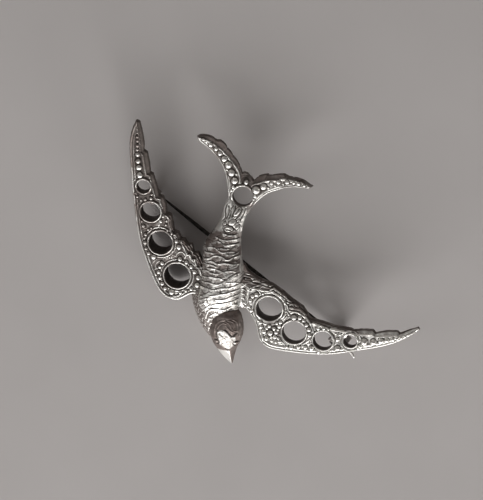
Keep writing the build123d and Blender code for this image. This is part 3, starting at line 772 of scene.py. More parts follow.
def make_wing(name, wing, material):
    front = smooth_line(wing["front"])
    trailing = resample([wing["front"][-1]] + wing["trailing"] + [wing["front"][0]])
    outline = np.concatenate([front[:-1], trailing[:-1]])
    holes = seat_holes(wing)
    closed = np.concatenate([outline, outline[:1]])

    def keep(points):
        ok = inside(points, outline)
        for hole in holes:
            ok &= ~inside(points, hole)
        return ok

    points = clear_of(lattice(outline), wing["beads"])
    for x, y, size, _, _ in wing["seats"]:
        points = points[apart(points, x, y) > size / 2 + SEAT_ROOM]
    points = [points[distance_to(points, front, 1.5) > FRONT_ROOM], bead_points(wing["beads"])]
    points += [circle((x, y), size / 2 + d) for x, y, size, _, _ in wing["seats"] for d in RING_OFFSETS]
    points += [offset_line(front, -d) for d, _ in wing["border"][1:]]
    points += [resample(rows) + [0, d] for rows in wing["face_edges"] for d in STEP_OFFSETS]
    points = np.concatenate(points)
    points = points[keep(points)]
    for hole in holes:
        points = points[distance_to(points, np.concatenate([hole, hole[:1]]), 0.1) > HOLE_ROOM]
    points = points[distance_to(points, closed, 0.2) > EDGE_ROOM]

    def shape(flat):
        share = flat[:, 0] / wing["length"]
        height = table(share, wing["border_share"]) * table(distance_to(flat, front, 1.5), wing["border"])
        height = height + 0.02 * noise(flat, 0.45, 3) + 0.03 * noise(flat, 1.4, 4)
        height = layered_edge(flat, wing["face_edges"], height)
        for (width, rise), lines in wing["ridges"].items():
            for line in lines:
                height = add_ridge(flat, height, smooth_line(line), width, rise)
        height = add_seats(flat, height, wing["seats"], wing["worn_rims"])
        height = add_beads(flat, height, wing["beads"])
        rounding = np.clip(1 - distance_to(flat, closed, 0.3) / EDGE_ROUND, 0, 1)
        return height - 0.13 * rounding**2, wing_thickness(share) + seat_feet(flat, wing["seats"])

    def place(flat, height):
        return wing_frame(wing, flat, height)

    def tone(flat):
        # The tip value paints shade towards the tip, and a painted highlight where it is below zero.
        share = np.clip(flat[:, 0] / wing["length"], 0, 1)
        # Beyond the first face edge lies the bevel, which faces away from the light: it is stained and
        # partly painted darker as shade.
        below = table(flat[:, 0], wing["face_edges"][0]) - flat[:, 1]
        shade, stain, polish = lit_tone(flat, wing["painted_tip_shade"] * share, soft_step(below / 0.15))
        # Painted highlight: the front edge is made lighter and more polished.
        painted_front_highlight = wing["front_highlight"] * soft_step(1.2 - distance_to(flat, front, 3.5) / 3)
        return shade - painted_front_highlight, stain, polish + painted_front_highlight

    def wall_shade(flat):
        return walls_of(flat, wing["seats"])

    return relief_plate(name, points, [outline] + holes, keep, shape, place, material, tone, wall_shade)


# Tail: two prongs and the seat between them, flat in the wings' plane

TAIL_HOLE = np.array([2.11, 15.32])
TAIL_SEAT = 4.0
TAIL_COLLAR = 0.75
TAIL_SEATS = [(*TAIL_HOLE, TAIL_SEAT, False, 0.2)]
TAIL_WORN = {0: (-105.0, 45.0)}
TAIL_THICKNESS = 1.8
PRONG_TIP_THICKNESS = 1.2
PRONG_SLOPE = 0.2
BISECTOR = 68.5
LEFT_PRONG = dict(
    angle=124.2,
    side=1,
    length=14.5,
    lift=2.5,
    front=[
        (0.0, 2.65), (1.84, 2.05), (3.45, 1.26), (5.17, 0.41), (6.94, -0.16), (8.62, -0.37),
        (10.16, -0.33), (11.66, -0.14), (13.0, 0.18), (14.0, 0.31), (14.4, 0.2),
    ],
    outer=[
        (14.3, -0.1), (14.23, -0.4), (13.97, -0.85), (13.33, -1.53), (12.77, -1.89), (12.3, -2.12),
        (12.1, -2.0), (11.85, -2.2), (11.6, -2.3), (11.26, -2.8), (10.6, -3.0), (9.9, -3.06),
        (9.5, -2.98), (9.3, -2.84), (9.0, -2.99), (8.1, -3.02), (7.65, -2.94), (7.5, -2.82), (7.2, -2.95),
        (6.15, -2.98), (5.3, -2.84), (5.1, -2.68), (4.5, -2.64), (3.81, -2.37), (2.99, -1.8), (0.0, -1.6),
    ],
    face_edge=[
        (0.0, -1.1), (2.6, -1.3), (3.22, -1.74), (3.83, -2.03), (4.66, -2.3), (5.54, -2.4), (6.38, -2.35),
        (7.32, -2.27), (8.06, -2.27), (8.92, -2.15), (9.86, -2.06), (10.67, -1.87), (11.54, -1.6),
        (12.37, -1.31), (13.14, -0.85), (14.13, -0.17), (14.7, 0.2),
    ],
    notches=[
        [(12.3, -2.4), (11.7, -1.95)], [(9.42, -3.15), (9.15, -2.3)],
    ],
    beads=[
        (13.51, -0.44, 0.58), (11.88, -0.9, 0.85), (10.66, -1.25, 0.8), (9.49, -1.32, 0.9),
        (8.15, -1.35, 1.1), (6.7, -1.3, 1.3), (5.08, -0.87, 1.3), (3.42, -0.46, 1.25), (2.48, 0.5, 0.7),
        (2.19, 1.15, 0.55), (12.75, -0.6, 0.4), (4.3, -1.45, 0.45), (6.0, -0.5, 0.4),
    ],
)
RIGHT_PRONG = dict(
    angle=12.9,
    side=-1,
    length=13.9,
    lift=3.4,
    front=[
        (0.0, 3.75), (0.38, 3.3), (0.81, 2.87), (1.43, 2.34), (2.17, 1.82), (2.96, 1.28), (3.85, 0.78),
        (4.85, 0.35), (6.03, 0.05), (7.2, -0.14), (8.35, -0.27), (9.48, -0.3), (10.59, -0.24),
        (11.66, -0.04), (12.51, 0.17), (13.15, 0.3), (13.6, 0.1),
    ],
    outer=[
        (13.55, -0.05), (13.16, -0.25), (12.62, -0.8), (11.96, -1.34), (10.94, -1.81), (10.4, -1.95),
        (10.2, -1.9), (9.89, -2.13), (9.37, -2.3), (9.09, -2.53), (8.9, -2.6), (8.71, -2.84),
        (7.85, -2.99), (6.73, -2.98), (6.1, -2.93), (5.84, -3.02), (5.66, -3.0), (5.46, -3.31),
        (4.57, -3.3), (3.9, -3.2), (3.6, -2.98), (3.25, -2.91), (2.52, -2.42), (2.03, -1.95), (0.0, -1.6),
    ],
    face_edge=[
        (0.0, -1.2), (2.04, -1.7), (2.38, -2.0), (3.17, -2.05), (4.31, -2.14), (5.23, -2.28),
        (6.1, -2.19), (6.96, -2.06), (7.9, -2.21), (8.67, -2.17), (9.3, -1.98), (10.14, -1.72),
        (11.18, -1.39), (12.05, -1.15), (12.73, -0.75), (13.4, -0.25), (14.0, 0.2),
    ],
    notches=[
        [(5.75, -3.5), (5.42, -3.05), (5.04, -2.5)], [(9.1, -2.9), (8.95, -2.2)],
    ],
    beads=[
        (2.88, -0.77, 1.5), (4.43, -1.19, 1.2), (6.15, -1.6, 0.75), (7.57, -1.65, 0.85),
        (6.76, -1.0, 0.4), (9.25, -1.4, 0.85), (10.06, -1.4, 0.4), (10.54, -1.08, 0.6),
        (11.45, -0.85, 0.78), (12.22, -0.78, 0.35), (12.5, -0.36, 0.6), (13.1, -0.12, 0.36),
        (2.35, 0.36, 0.75), (1.97, 0.92, 0.5), (8.4, -1.1, 0.45), (5.3, -0.75, 0.45),
    ],
)
TAIL_BEADS = [
    (2.8, 18.15, 0.9), (4.6, 15.35, 0.65), (4.35, 14.65, 0.45),
]
CROTCH = [
    (1.3, 18.7), (1.55, 19.3), (1.9, 19.72), (2.4, 19.86), (3.05, 19.7), (3.5, 19.1), (3.85, 18.6),
    (4.4, 18.0), (3.6, 17.2), (1.6, 17.2),
]
CROTCH_ARCHES = [
    ([(1.85, 18.0), (2.05, 18.6), (2.65, 18.85), (3.2, 18.65), (3.55, 18.1)], 0.2, 0.09),
    ([(1.75, 18.7), (2.1, 19.2), (2.6, 19.35), (3.05, 19.1), (3.4, 18.7)], 0.2, 0.06),
]
PRONG_BORDER = [
    (0.0, -0.1), (0.06, 0.06), (0.15, 0.14), (0.25, 0.08), (0.33, -0.03), (0.43, 0.07), (0.53, 0.05),
    (0.63, 0.0),
]
SHAFT_LOOP = [(-0.2, 16.3), (-0.9, 13.5), (-1.2, 11.8), (2.8, 11.8), (3.6, 13.2), (4.4, 14.6)]


def prong_to_flat(prong, points):
    return TAIL_HOLE + points @ plane_turn(prong).T


def flat_to_prong(prong, flat):
    return (flat - TAIL_HOLE) @ plane_turn(prong)


def prong_outline(prong):
    front = smooth_line(prong["front"])
    back = resample([front[-1].tolist()] + prong["outer"] + [front[0].tolist()])
    return front, np.concatenate([front[:-1], back[:-1]])


def by_prong(flat):
    """Each prong, a mask of the tail's points that belong to it, and their places on it."""
    x, y = (flat - TAIL_HOLE).T
    a = math.radians(BISECTOR)
    left = math.cos(a) * y > math.sin(a) * x
    both = ((LEFT_PRONG, left), (RIGHT_PRONG, ~left))
    return [(prong, mine, flat_to_prong(prong, flat[mine])) for prong, mine in both]


def tail_base(flat):
    """Height and slope of the tail's face over the wings' plane."""
    base, slope = np.zeros(len(flat)), np.zeros((len(flat), 2))
    for prong, mine, local in by_prong(flat):
        share = np.clip(local[:, :1] / prong["length"], 0, None)
        base[mine] = prong["lift"] * share[:, 0] ** 2
        slope[mine] = 2 * prong["lift"] / prong["length"] * share * plane_turn(prong)[:, 0]
    return base, slope


def make_tail(name, material):
    parts = [(prong, *prong_outline(prong)) for prong in (LEFT_PRONG, RIGHT_PRONG)]
    outlines = [prong_to_flat(prong, outline) for prong, _, outline in parts]
    collar = circle(TAIL_HOLE, TAIL_SEAT / 2 + TAIL_COLLAR)
    shaft = resample(SHAFT_LOOP + SHAFT_LOOP[:1])[:-1]
    crotch = resample(CROTCH + CROTCH[:1])[:-1]
    hole = circle(TAIL_HOLE, TAIL_SEAT / 2)
    loops = outlines + [collar, shaft, crotch]

    def keep(points):
        from_hole = apart(points, *TAIL_HOLE)
        ok = from_hole < TAIL_SEAT / 2 + TAIL_COLLAR
        for loop in outlines + [shaft, crotch]:
            ok |= inside(points, loop)
        return ok & (from_hole > TAIL_SEAT / 2 - 1e-4)

    beads = list(TAIL_BEADS)
    for prong, _, _ in parts:
        rows = np.array(prong["beads"])
        beads += np.column_stack([prong_to_flat(prong, rows[:, :2]), rows[:, 2]]).tolist()
    points = [clear_of(lattice(np.concatenate(loops)), beads), bead_points(beads)]
    points += [circle(TAIL_HOLE, TAIL_SEAT / 2 + d) for d in RING_OFFSETS[:7]]
    for prong, front, _ in parts:
        inner = front[front[:, 0] > 1.5]
        points += [prong_to_flat(prong, offset_line(inner, -d)) for d, _ in PRONG_BORDER[1:]]
        points += [prong_to_flat(prong, resample(prong["face_edge"]) + [0, d]) for d in STEP_OFFSETS[:5]]
    points = np.concatenate(points)
    points = points[keep(points)]
    points = points[apart(points, *TAIL_HOLE) > TAIL_SEAT / 2 + HOLE_ROOM]

    def shape(flat):
        height = 0.02 * noise(flat, 0.45, 13) + 0.03 * noise(flat, 1.4, 14)
        far = np.zeros(len(flat))
        for (prong, mine, local), (_, front, _) in zip(by_prong(flat), parts):
            u, v = local.T
            below = table(u, prong["face_edge"]) - v
            piece = table(distance_to(local, front, 1.5), PRONG_BORDER)
            piece -= BEVEL_DROP * soft_step((below + 0.05) / 0.1)
            piece -= PRONG_SLOPE * np.clip(below - 0.05, 0, 1.6)
            piece += 0.12 * np.clip(1 - ((below + 0.2) / 0.15) ** 2, 0, 1)
            piece *= np.clip((u - 1.2) / 1.5, 0, 1)
            for line in prong["notches"]:
                piece -= 0.07 * soft_step(1 - distance_to(local, line, 0.4) / 0.16)
            height[mine] += piece
            far[mine] = np.clip(u / prong["length"], 0, 1)
        height = add_seats(flat, height, TAIL_SEATS, TAIL_WORN)
        for line, width, rise in CROTCH_ARCHES:
            height = add_ridge(flat, height, smooth_line(line), width, rise)
        thickness = TAIL_THICKNESS + (PRONG_TIP_THICKNESS - TAIL_THICKNESS) * far
        return add_beads(flat, height, beads), thickness

    def place(flat, height):
        base, slope = tail_base(flat)
        size = np.sqrt(1 + (slope**2).sum(1))
        moved = flat - slope / size[:, None] * height[:, None]
        return to_part(np.column_stack([moved, base + height / size]))

    def tone(flat):
        # The prongs' bevels face away from the light: they are stained and partly painted darker as shade.
        shaded_bevel = np.zeros(len(flat))
        for prong, mine, local in by_prong(flat):
            below = table(local[:, 0], prong["face_edge"]) - local[:, 1]
            shaded_bevel[mine] = soft_step(below / 0.15) * soft_step((local[:, 0] - 2.2) / 0.6)
        return lit_tone(flat, 0.05, 1.3 * shaded_bevel)

    def wall_shade(flat):
        return walls_of(flat, TAIL_SEATS)

    return relief_plate(name, points, loops + [hole], keep, shape, place, material, tone, wall_shade)


# Body: rings along its length, with wavy rows of feathers on its back.
# Sections: share of the length, then sideways place, half width, top and bottom as shares of the sizes.

BODY_LENGTH = 21.7
BODY_WIDTH = 8.4
BACK_HEIGHT = 3.0
BELLY_DEPTH = 5.1
TAIL_END_OF_BODY = 13.2
BODY_SECTIONS = [
    (-0.08, 0.17, 0.26, 0.05, 0.27),
    (-0.03, 0.12, 0.275, 0.14, 0.28),
    (0.05, 0.06, 0.285, 0.21, 0.33),
    (0.12, 0.01, 0.285, 0.27, 0.39),
    (0.28, -0.175, 0.38, 0.47, 0.59),
    (0.39, -0.245, 0.445, 0.63, 0.72),
    (0.50, -0.235, 0.47, 0.77, 0.81),
    (0.61, -0.22, 0.50, 0.87, 0.88),
    (0.72, -0.26, 0.48, 0.94, 0.96),
    (0.84, -0.34, 0.50, 1.00, 1.00),
    (1.00, -0.32, 0.47, 0.67, 0.98),
    (1.12, -0.24, 0.43, 0.3, 0.88),
]
# Dark creases across the back, each from left to right, from the tail to the neck
CREASES = [
    [(-1.5, 8.1), (-0.6, 7.9), (0.3, 7.8), (1.0, 8.0)],
    [(-3.0, 7.4), (-2.2, 7.1), (-1.0, 6.9), (0.2, 6.9), (1.6, 7.0)],
    [(-2.5, 6.6), (-1.8, 6.3), (-1.2, 5.85), (-0.8, 5.85), (0.6, 6.0), (1.5, 6.0)],
    [(-4.6, 5.3), (-3.2, 5.4), (-2.4, 4.9), (-1.9, 4.6), (-0.8, 4.6), (0.5, 4.5)],
    [(-2.6, 5.25), (-1.4, 5.3), (-0.4, 5.2), (0.6, 5.4)], [(-5.3, 4.4), (-4.4, 4.3), (-3.5, 4.3)],
    [(-4.6, 3.1), (-3.8, 3.4), (-3.2, 3.8), (-2.3, 3.85), (-1.5, 3.6), (-0.7, 3.1), (0.3, 3.4), (1.5, 3.6)],
    [(-0.8, 4.15), (0.2, 4.0), (1.4, 4.3)],
    [(-4.9, 2.4), (-3.5, 2.7), (-2.5, 2.3), (-1.4, 2.5), (-0.6, 2.4), (0.3, 2.1), (1.7, 2.0)],
    [(-4.5, 1.2), (-3.2, 1.3), (-2.2, 1.0), (-1.0, 0.8), (0.0, 0.9), (0.9, 0.6)],
    [(-4.4, 1.9), (-3.4, 1.95), (-2.8, 1.75)],
    [(-4.0, -0.3), (-2.9, -0.5), (-1.9, -0.5), (-1.1, -0.9), (-0.2, -0.5), (0.7, 0.0), (1.7, 0.3)],
    [(-4.3, 0.6), (-3.4, 0.35), (-2.4, 0.4)], [(-4.1, -1.6), (-3.0, -1.8), (-1.9, -1.6), (-1.0, -1.0)],
    [(-0.7, -1.5), (0.4, -1.4), (1.6, -1.9)],
    [(-4.2, -2.9), (-2.8, -2.8), (-2.0, -2.5), (-0.7, -2.5), (0.5, -2.3), (2.2, -2.0)],
    [(-4.2, -4.2), (-3.0, -3.9), (-1.5, -3.7), (0.0, -3.4), (2.2, -3.3)],
    [(-2.8, -4.8), (-1.0, -4.7), (0.5, -4.4), (1.5, -4.4)],
    [(-5.2, -7.3), (-4.4, -6.4), (-3.3, -5.9), (-1.6, -5.6), (0.0, -5.5), (1.8, -5.4)],
    [(-4.8, -8.0), (-3.8, -7.0), (-2.3, -6.9), (-1.5, -7.1), (0.0, -6.6)],
    [(-6.0, -4.7), (-5.0, -4.1), (-4.2, -3.5)], [(-6.3, -5.6), (-5.3, -5.0), (-4.4, -4.6)],
    [(0.2, -6.2), (1.0, -6.4), (1.9, -6.2)], [(-4.6, -9.0), (-3.8, -8.4), (-3.0, -7.8)],
    [(-6.1, -2.9), (-5.2, -2.8), (-4.4, -2.85)], [(-6.2, -1.9), (-5.3, -1.8), (-4.3, -1.6)],
    [(-6.0, -0.8), (-5.1, -0.7), (-4.1, -0.4)], [(-5.9, 0.3), (-5.0, 0.6), (-4.3, 0.75)],
    [(-6.4, -6.7), (-5.7, -6.1), (-5.0, -5.7)], [(-5.7, 1.8), (-5.0, 2.0), (-4.4, 1.9)],
    [(-5.7, 3.0), (-5.1, 2.9), (-4.6, 3.1)],
]
# Short lines along the neck's feathers
STROKES = [
    [(-4.0, -7.6), (-4.5, -8.5)], [(-3.6, -7.4), (-4.1, -8.3)], [(-3.2, -7.3), (-3.6, -8.1)],
    [(-2.8, -7.2), (-3.1, -7.9)], [(-2.4, -7.2), (-2.6, -7.7)], [(-4.3, -8.0), (-4.9, -9.0)],
    [(-1.4, 9.8), (-0.9, 11.3), (-0.6, 12.8)], [(-1.0, 9.6), (-0.4, 11.0), (-0.1, 12.5)],
    [(-1.7, 9.0), (-1.3, 10.6), (-1.0, 12.0)], [(-0.4, 11.6), (0.2, 12.7)], [(0.6, -3.9), (0.9, -4.4)],
    [(-1.9, -2.9), (-1.8, -3.6)], [(0.0, -1.7), (-0.1, -2.3)], [(-2.9, 1.25), (-2.85, 0.6)],
    [(-0.4, 2.0), (-0.6, 1.1)], [(0.4, 3.2), (0.1, 2.5)], [(-1.6, 3.4), (-1.9, 2.6)],
    [(0.5, -5.6), (0.7, -6.4)],
]
SIDE_RIM = [
    (1.95, 9.2), (1.8, 8.1), (1.7, 7.0), (1.68, 5.0), (1.8, 3.6), (1.75, 2.6), (1.65, 1.2), (1.9, 0.2),
]
# Leaf-shaped feathers on the shaft of the tail: middle, half length, half width, angle, height
SHAFT_LEAVES = [
    (1.1, 12.35, 1.0, 0.5, 55.0, 0.17),
    (0.15, 10.25, 0.85, 0.52, 32.0, 0.27),
    (-0.5, 8.95, 0.85, 0.5, 4.0, 0.13),
    (1.2, 9.35, 0.6, 0.3, 52.0, 0.12),
    (-1.35, 10.0, 0.45, 0.3, 60.0, 0.08),
    (1.45, 10.6, 0.4, 0.28, 60.0, 0.1),
]
SHAFT_GROOVES = [
    [(-1.75, 10.5), (-1.2, 11.3), (-1.3, 12.4), (-0.9, 13.7)],
    [(-1.0, 11.0), (-0.7, 11.6), (-0.45, 12.5), (-0.6, 13.4)],
    [(-0.5, 11.1), (-0.1, 11.8), (-0.15, 12.6), (0.35, 13.5)],
    [(0.15, 11.3), (0.3, 12.0), (0.7, 12.7), (0.75, 13.4)], [(0.8, 10.9), (1.6, 11.8), (2.15, 12.9)],
    [(1.35, 10.4), (2.2, 11.6), (2.75, 13.0)], [(0.85, 12.0), (1.5, 12.85)], [(-0.9, 8.9), (-0.2, 8.85)],
    [(-1.4, 9.6), (-1.0, 9.75), (-0.4, 9.75), (0.2, 9.5), (0.6, 9.0)],
]
SCALE_RISE = 0.15
SCALE_LENGTH = 0.55
CREASE_DEPTH = 0.11
STROKE_DEPTH = 0.08
GROOVE_DEPTH = 0.14
LEAF_GROOVE_DEPTH = 0.07
WRINKLE_DEPTH = 0.055
RIM_RISE = 0.09
END_REACH = 0.7
AROUND = 184
SEAT_CLEARANCE = 0.1
DRAWN_BACK_FROM = 11.2
BODY_STEP = 0.085


def body_values(share):
    """Sideways place, half width, top and bottom of the body at shares of its length."""
    rows = np.array(BODY_SECTIONS)
    out = []
    for column in range(1, 5):
        curve = smooth_line(np.column_stack([rows[:, 0] * 20, rows[:, column] * 4]), 0.05)
        out.append(np.interp(share * 20, curve[:, 0], curve[:, 1] / 4))
    shift, half, top, bottom = out
    return shift * BODY_WIDTH, half * BODY_WIDTH, top * BACK_HEIGHT, bottom * BELLY_DEPTH


def row_relief(spots):
    """Height of the feather rows on the back, how near a dark crease is, and how near a raised lip."""
    x, y = spots.T
    wave = 0.05 * noise(spots, 0.85, 31) + 0.035 * noise(spots, 0.3, 32)
    height, crease, crest = np.zeros((3, len(x)))
    rim = table(-y, [(-b, a) for a, b in SIDE_RIM])
    inner = np.where((y > SIDE_RIM[-1][1]) & (y < SIDE_RIM[0][1]), soft_step((rim - 0.1 - x) / 0.25), 1)
    broken = 0.75 + 0.25 * noise(spots, 0.5, 34)
    for rows in CREASES:
        line = smooth_line(rows, 0.08)
        line = line[np.argsort(line[:, 0])]
        s = y + wave - np.interp(x, line[:, 0], line[:, 1])
        part = soft_step((x - line[0, 0] + 0.35) / 0.5) * inner
        part *= soft_step((line[-1, 0] + 0.35 - x) / 0.5)
        lift = np.where(s < 0, np.exp(np.minimum(s, 0) / SCALE_LENGTH), 1 - soft_step(s / 0.12))
        groove = np.exp(-(((s - 0.07) / 0.055) ** 2))
        height += part * (SCALE_RISE * lift - CREASE_DEPTH * groove)
        crease = np.maximum(crease, part * groove * broken)
        crest = np.maximum(crest, part * np.exp(-(((s + 0.14) / 0.14) ** 2)))
    cuts = [(rows, STROKE_DEPTH, 0.13, 0.8) for rows in STROKES]
    cuts += [(smooth_line(rows), GROOVE_DEPTH, 0.24, 1.3) for rows in SHAFT_GROOVES]
    for line, depth, width, dark in cuts:
        near = soft_step(1 - distance_to(spots, line, 0.4) / width)
        height -= depth * near
        crease = np.maximum(crease, dark * near)
    slanted = np.stack([x / 1.9 + y / 2.5, y / 0.42 - x / 1.5], 1)
    for scale, seed in ((1.0, 33), (0.6, 35)):
        fine = soft_step(1 - np.abs(noise(slanted, scale, seed)) / 0.16) * soft_step(9.0 - y) * inner
        height -= WRINKLE_DEPTH * scale * fine
        crease = np.maximum(crease, 0.55 * fine)
    height += RIM_RISE * np.clip(1 - (distance_to(spots, SIDE_RIM, 0.4) / 0.13) ** 2, 0, 1)
    return height, crease, crest


def leaf_relief(spots):
    """Leaf-shaped feathers, each with a narrow groove around it."""
    height, groove = np.zeros((2, len(spots)))
    for x, y, long, wide, angle, rise in SHAFT_LEAVES:
        r = np.linalg.norm((spots - [x, y]) @ turn_z(angle)[:2, :2] / [long, wide], axis=1)
        height = np.maximum(height, rise * np.sqrt(np.clip(1 - r**2, 0, 1)))
        groove = np.maximum(groove, soft_step(1 - np.abs(r - 1.1) * wide / 0.12))
    return height - LEAF_GROOVE_DEPTH * groove, groove


def grid_faces(rows, around):
    index = np.arange(rows * around).reshape(rows, around)
    turned = np.roll(index, -1, 1)
    return np.stack([index[:-1], turned[:-1], turned[1:], index[1:]], -1).reshape(-1, 4)


def ringed_piece(name, points, faces, caps, finish, around, material):
    """Piece made of rings, closed at both ends by faces around a middle point."""
    count, last = len(points), len(points) - around
    a = np.arange(around)
    b = np.roll(a, -1)
    all_faces = faces[:, ::-1].tolist()
    all_faces += np.stack([a, b, np.full(around, count)], 1).tolist()
    all_faces += np.stack([b + last, a + last, np.full(around, count + 1)], 1).tolist()
    finish = np.concatenate([finish, np.full((2, 3), FLAT_TONE)])
    return new_piece(name, to_part(np.concatenate([points, caps])), all_faces, finish, material)


def tube_finish(points, faces, rounds):
    """Hollowness of a mesh at each point, from how far its neighbourhood stands out."""
    tri = np.concatenate([faces[:, [0, 1, 2]], faces[:, [0, 2, 3]]])
    broad = np.stack([spread(points[:, i], tri, rounds) for i in range(3)], 1)
    a = points[faces[:, 2]] - points[faces[:, 0]]
    b = points[faces[:, 3]] - points[faces[:, 1]]
    face_normal = np.cross(a, b)
    normal = np.zeros_like(points)
    for i in range(4):
        np.add.at(normal, faces[:, i], face_normal)
    normal /= np.maximum(np.linalg.norm(normal, axis=1), SMALL)[:, None]
    return ((broad - points) * normal).sum(1)


def clear_of_seat(x, y):
    """Places along the body, drawn back so that its end follows the edge of the tail's seat."""
    end = y.max()
    across = x - TAIL_HOLE[0]
    reach = TAIL_SEAT / 2 + SEAT_CLEARANCE
    edge = TAIL_HOLE[1] - np.sqrt(np.maximum(reach**2 - across**2, 0))
    limit = np.where(np.abs(across) < reach, np.minimum(edge, end), end)
    return y - (end - limit) * np.clip((y - DRAWN_BACK_FROM) / (end - DRAWN_BACK_FROM), 0, 1)


def make_body(name, material):
    first, last = BODY_SECTIONS[0][0], BODY_SECTIONS[-1][0]
    share = np.linspace(first, last, int((last - first) * BODY_LENGTH / BODY_STEP))
    shift, half, top, bottom = (values[:, None] for values in body_values(share))
    angle = np.linspace(0, 2 * math.pi, AROUND, endpoint=False)
    ca, sa = np.cos(angle), np.sin(angle)
    tall = (top + bottom) / 2
    x = (shift + half * ca).ravel()
    z = ((top - bottom) / 2 + tall * sa).ravel()
    y = clear_of_seat(x, np.repeat(TAIL_END_OF_BODY - share * BODY_LENGTH, AROUND))
    out = np.stack([(ca / half).ravel(), 0 * x, (sa / tall).ravel()], 1)
    out /= np.linalg.norm(out, axis=1)[:, None]
    spots = np.stack([x, y, z], 1)
    upper = soft_step((out[:, 2] + 0.25) / 0.5)
    height, crease, crest = row_relief(spots[:, :2])
    leaves, around_leaf = leaf_relief(spots[:, :2])
    crease = np.maximum(crease, 1.2 * around_leaf)
    lift = upper * (height + leaves + 0.02 * noise(spots, (0.18, 0.9, 0.5), 41))
    lift += 0.035 * noise(spots, 0.5, 42) + 0.05 * noise(spots, 1.3, 43)
    lift += 0.12 * np.abs(noise(spots, 0.75, 44)) * soft_step((-y - 1.0) / 3) * (1 - upper)
    points = spots + out * lift[:, None]
    faces = grid_faces(len(share), AROUND)
    shaft = soft_step((y - 8.0) / 1.6)
    neck = soft_step((-y - 1.5) / 2.5)
    hollow = FLAT_TONE + 2.2 * tube_finish(points, faces, 18) + 0.42 * crease * upper - 0.13 * shaft
    stain = 0.46 + 0.3 * noise(spots, 3.0, 45) + 0.4 * soft_step((y + 1) / 4) * (1 - shaft)
    stain -= 0.2 * neck + 0.25 * shaft
    polish = 0.5 + 0.35 * noise(spots, 0.8, 46) + 0.05 * neck + 0.6 * shaft + 0.45 * crest * upper
    finish = np.column_stack([hollow, stain, polish])
    caps = [points[:AROUND].mean(0), points[-AROUND:].mean(0)]
    caps[0][1] = points[:AROUND, 1].min() - END_REACH
    return ringed_piece(name, points, faces, caps, finish, AROUND, material)


# Head with its beak: rings from the nape to the tip of the beak

# Place along the body, middle x and z, half width, height above and below the middle, how flat-sided
HEAD_RINGS = [
    (-7.3, -1.0, -0.6, 0.3, 0.3, 0.3, 0.0),
    (-7.42, -1.0, -0.5, 1.3, 1.9, 1.3, 0.0),
    (-7.8, -1.05, -0.42, 2.1, 2.75, 2.0, 0.0),
    (-8.6, -1.1, -0.36, 2.85, 3.12, 2.8, 0.0),
    (-10.0, -1.15, -0.35, 3.3, 3.3, 3.2, 0.0),
    (-11.5, -1.2, -0.36, 3.45, 3.42, 3.35, 0.0),
    (-13.0, -1.2, -0.45, 3.28, 3.2, 3.2, 0.0),
    (-14.4, -1.2, -0.65, 2.8, 2.7, 2.75, 0.1),
    (-15.4, -1.15, -0.9, 2.3, 2.25, 2.2, 0.3),
    (-16.2, -1.08, -1.12, 1.85, 1.8, 1.7, 0.65),
    (-17.3, -0.9, -1.38, 1.35, 1.3, 1.15, 1.0),
    (-18.4, -0.68, -1.62, 0.85, 0.85, 0.7, 1.0),
    (-19.3, -0.45, -1.85, 0.4, 0.42, 0.35, 1.0),
    (-19.75, -0.32, -1.97, 0.13, 0.14, 0.12, 1.0),
]
BEAK_SIDES = [118.0, 25.0, 200.0, 270.0, 335.0]
BEAK_SHARPNESS = 14
# Eyes: place from above, radius
EYES = [(-2.95, -13.9, 0.42), (0.95, -14.35, 0.4)]
NOSTRIL = (-0.75, -15.85)
HEAD_AROUND = 160
HEAD_STEP = 0.085
# Bright worn patch over the face, the dark lines with their width and depth, and the crown's curls
FACE_PATCH = [
    (-2.75, -11.75), (-2.1, -11.1), (-1.6, -10.95), (-0.95, -11.2), (-0.45, -11.9), (0.05, -12.4),
    (0.55, -12.6), (0.95, -12.9), (0.9, -13.6), (0.7, -14.4), (0.45, -15.0), (-0.1, -15.5), (-0.8, -15.7),
    (-1.5, -15.3), (-2.1, -14.6), (-2.3, -13.6), (-2.55, -12.9),
]
FACE_LINES = [
    ([(-1.0, -11.0), (-0.3, -11.7), (0.1, -12.3), (0.45, -12.5), (0.8, -12.2), (1.15, -11.9)], 0.26, 0.2),
    ([(-2.2, -11.9), (-1.7, -12.3), (-1.2, -12.7)], 0.3, 0.1),
    ([(-1.9, -13.2), (-1.3, -12.9), (-0.9, -13.0)], 0.22, 0.07),
    ([(-0.9, -13.9), (-0.4, -13.6), (0.1, -13.8)], 0.2, 0.05),
    ([(-1.9, -14.4), (-1.5, -14.1)], 0.2, 0.05),
    ([(0.2, -13.2), (0.5, -13.6), (0.4, -14.2)], 0.2, 0.05),
    ([(-1.3, -15.4), (-0.9, -15.9), (-0.3, -15.8)], 0.24, 0.14),
    ([(-2.6, -11.2), (-2.9, -12.2), (-2.7, -13.2)], 0.3, 0.12),
]
CROWN_CURLS = [
    [(-3.2, -11.2), (-2.7, -9.9), (-1.7, -9.2), (-0.9, -9.1)],
    [(-2.6, -11.0), (-2.1, -10.2), (-1.3, -9.7), (-0.7, -9.9)],
    [(-0.9, -9.4), (-0.2, -9.9), (0.2, -10.8), (0.8, -11.4), (1.4, -11.5)],
    [(-0.3, -9.2), (0.5, -9.6), (0.8, -10.4), (0.5, -11.0)],
    [(0.3, -9.0), (1.1, -9.6), (1.4, -10.6), (1.3, -11.3)],
    [(-0.9, -10.2), (-0.4, -10.8), (0.2, -11.4), (0.8, -11.8)],
    [(-3.0, -12.4), (-3.2, -11.6), (-3.0, -10.6)], [(1.7, -10.0), (1.9, -11.4), (1.6, -12.8)],
]
BEAK_ARRIS = [(-0.5, -15.9), (-0.32, -19.9)]


def beak_radius(angle):
    """Radius of a many-sided section whose half sizes are 1, with slightly rounded corners."""
    facing = np.clip(np.cos(angle - np.radians(BEAK_SIDES)[:, None]), 0, None)
    return 0.94 / np.maximum((facing**BEAK_SHARPNESS).sum(0), SMALL) ** (1 / BEAK_SHARPNESS)


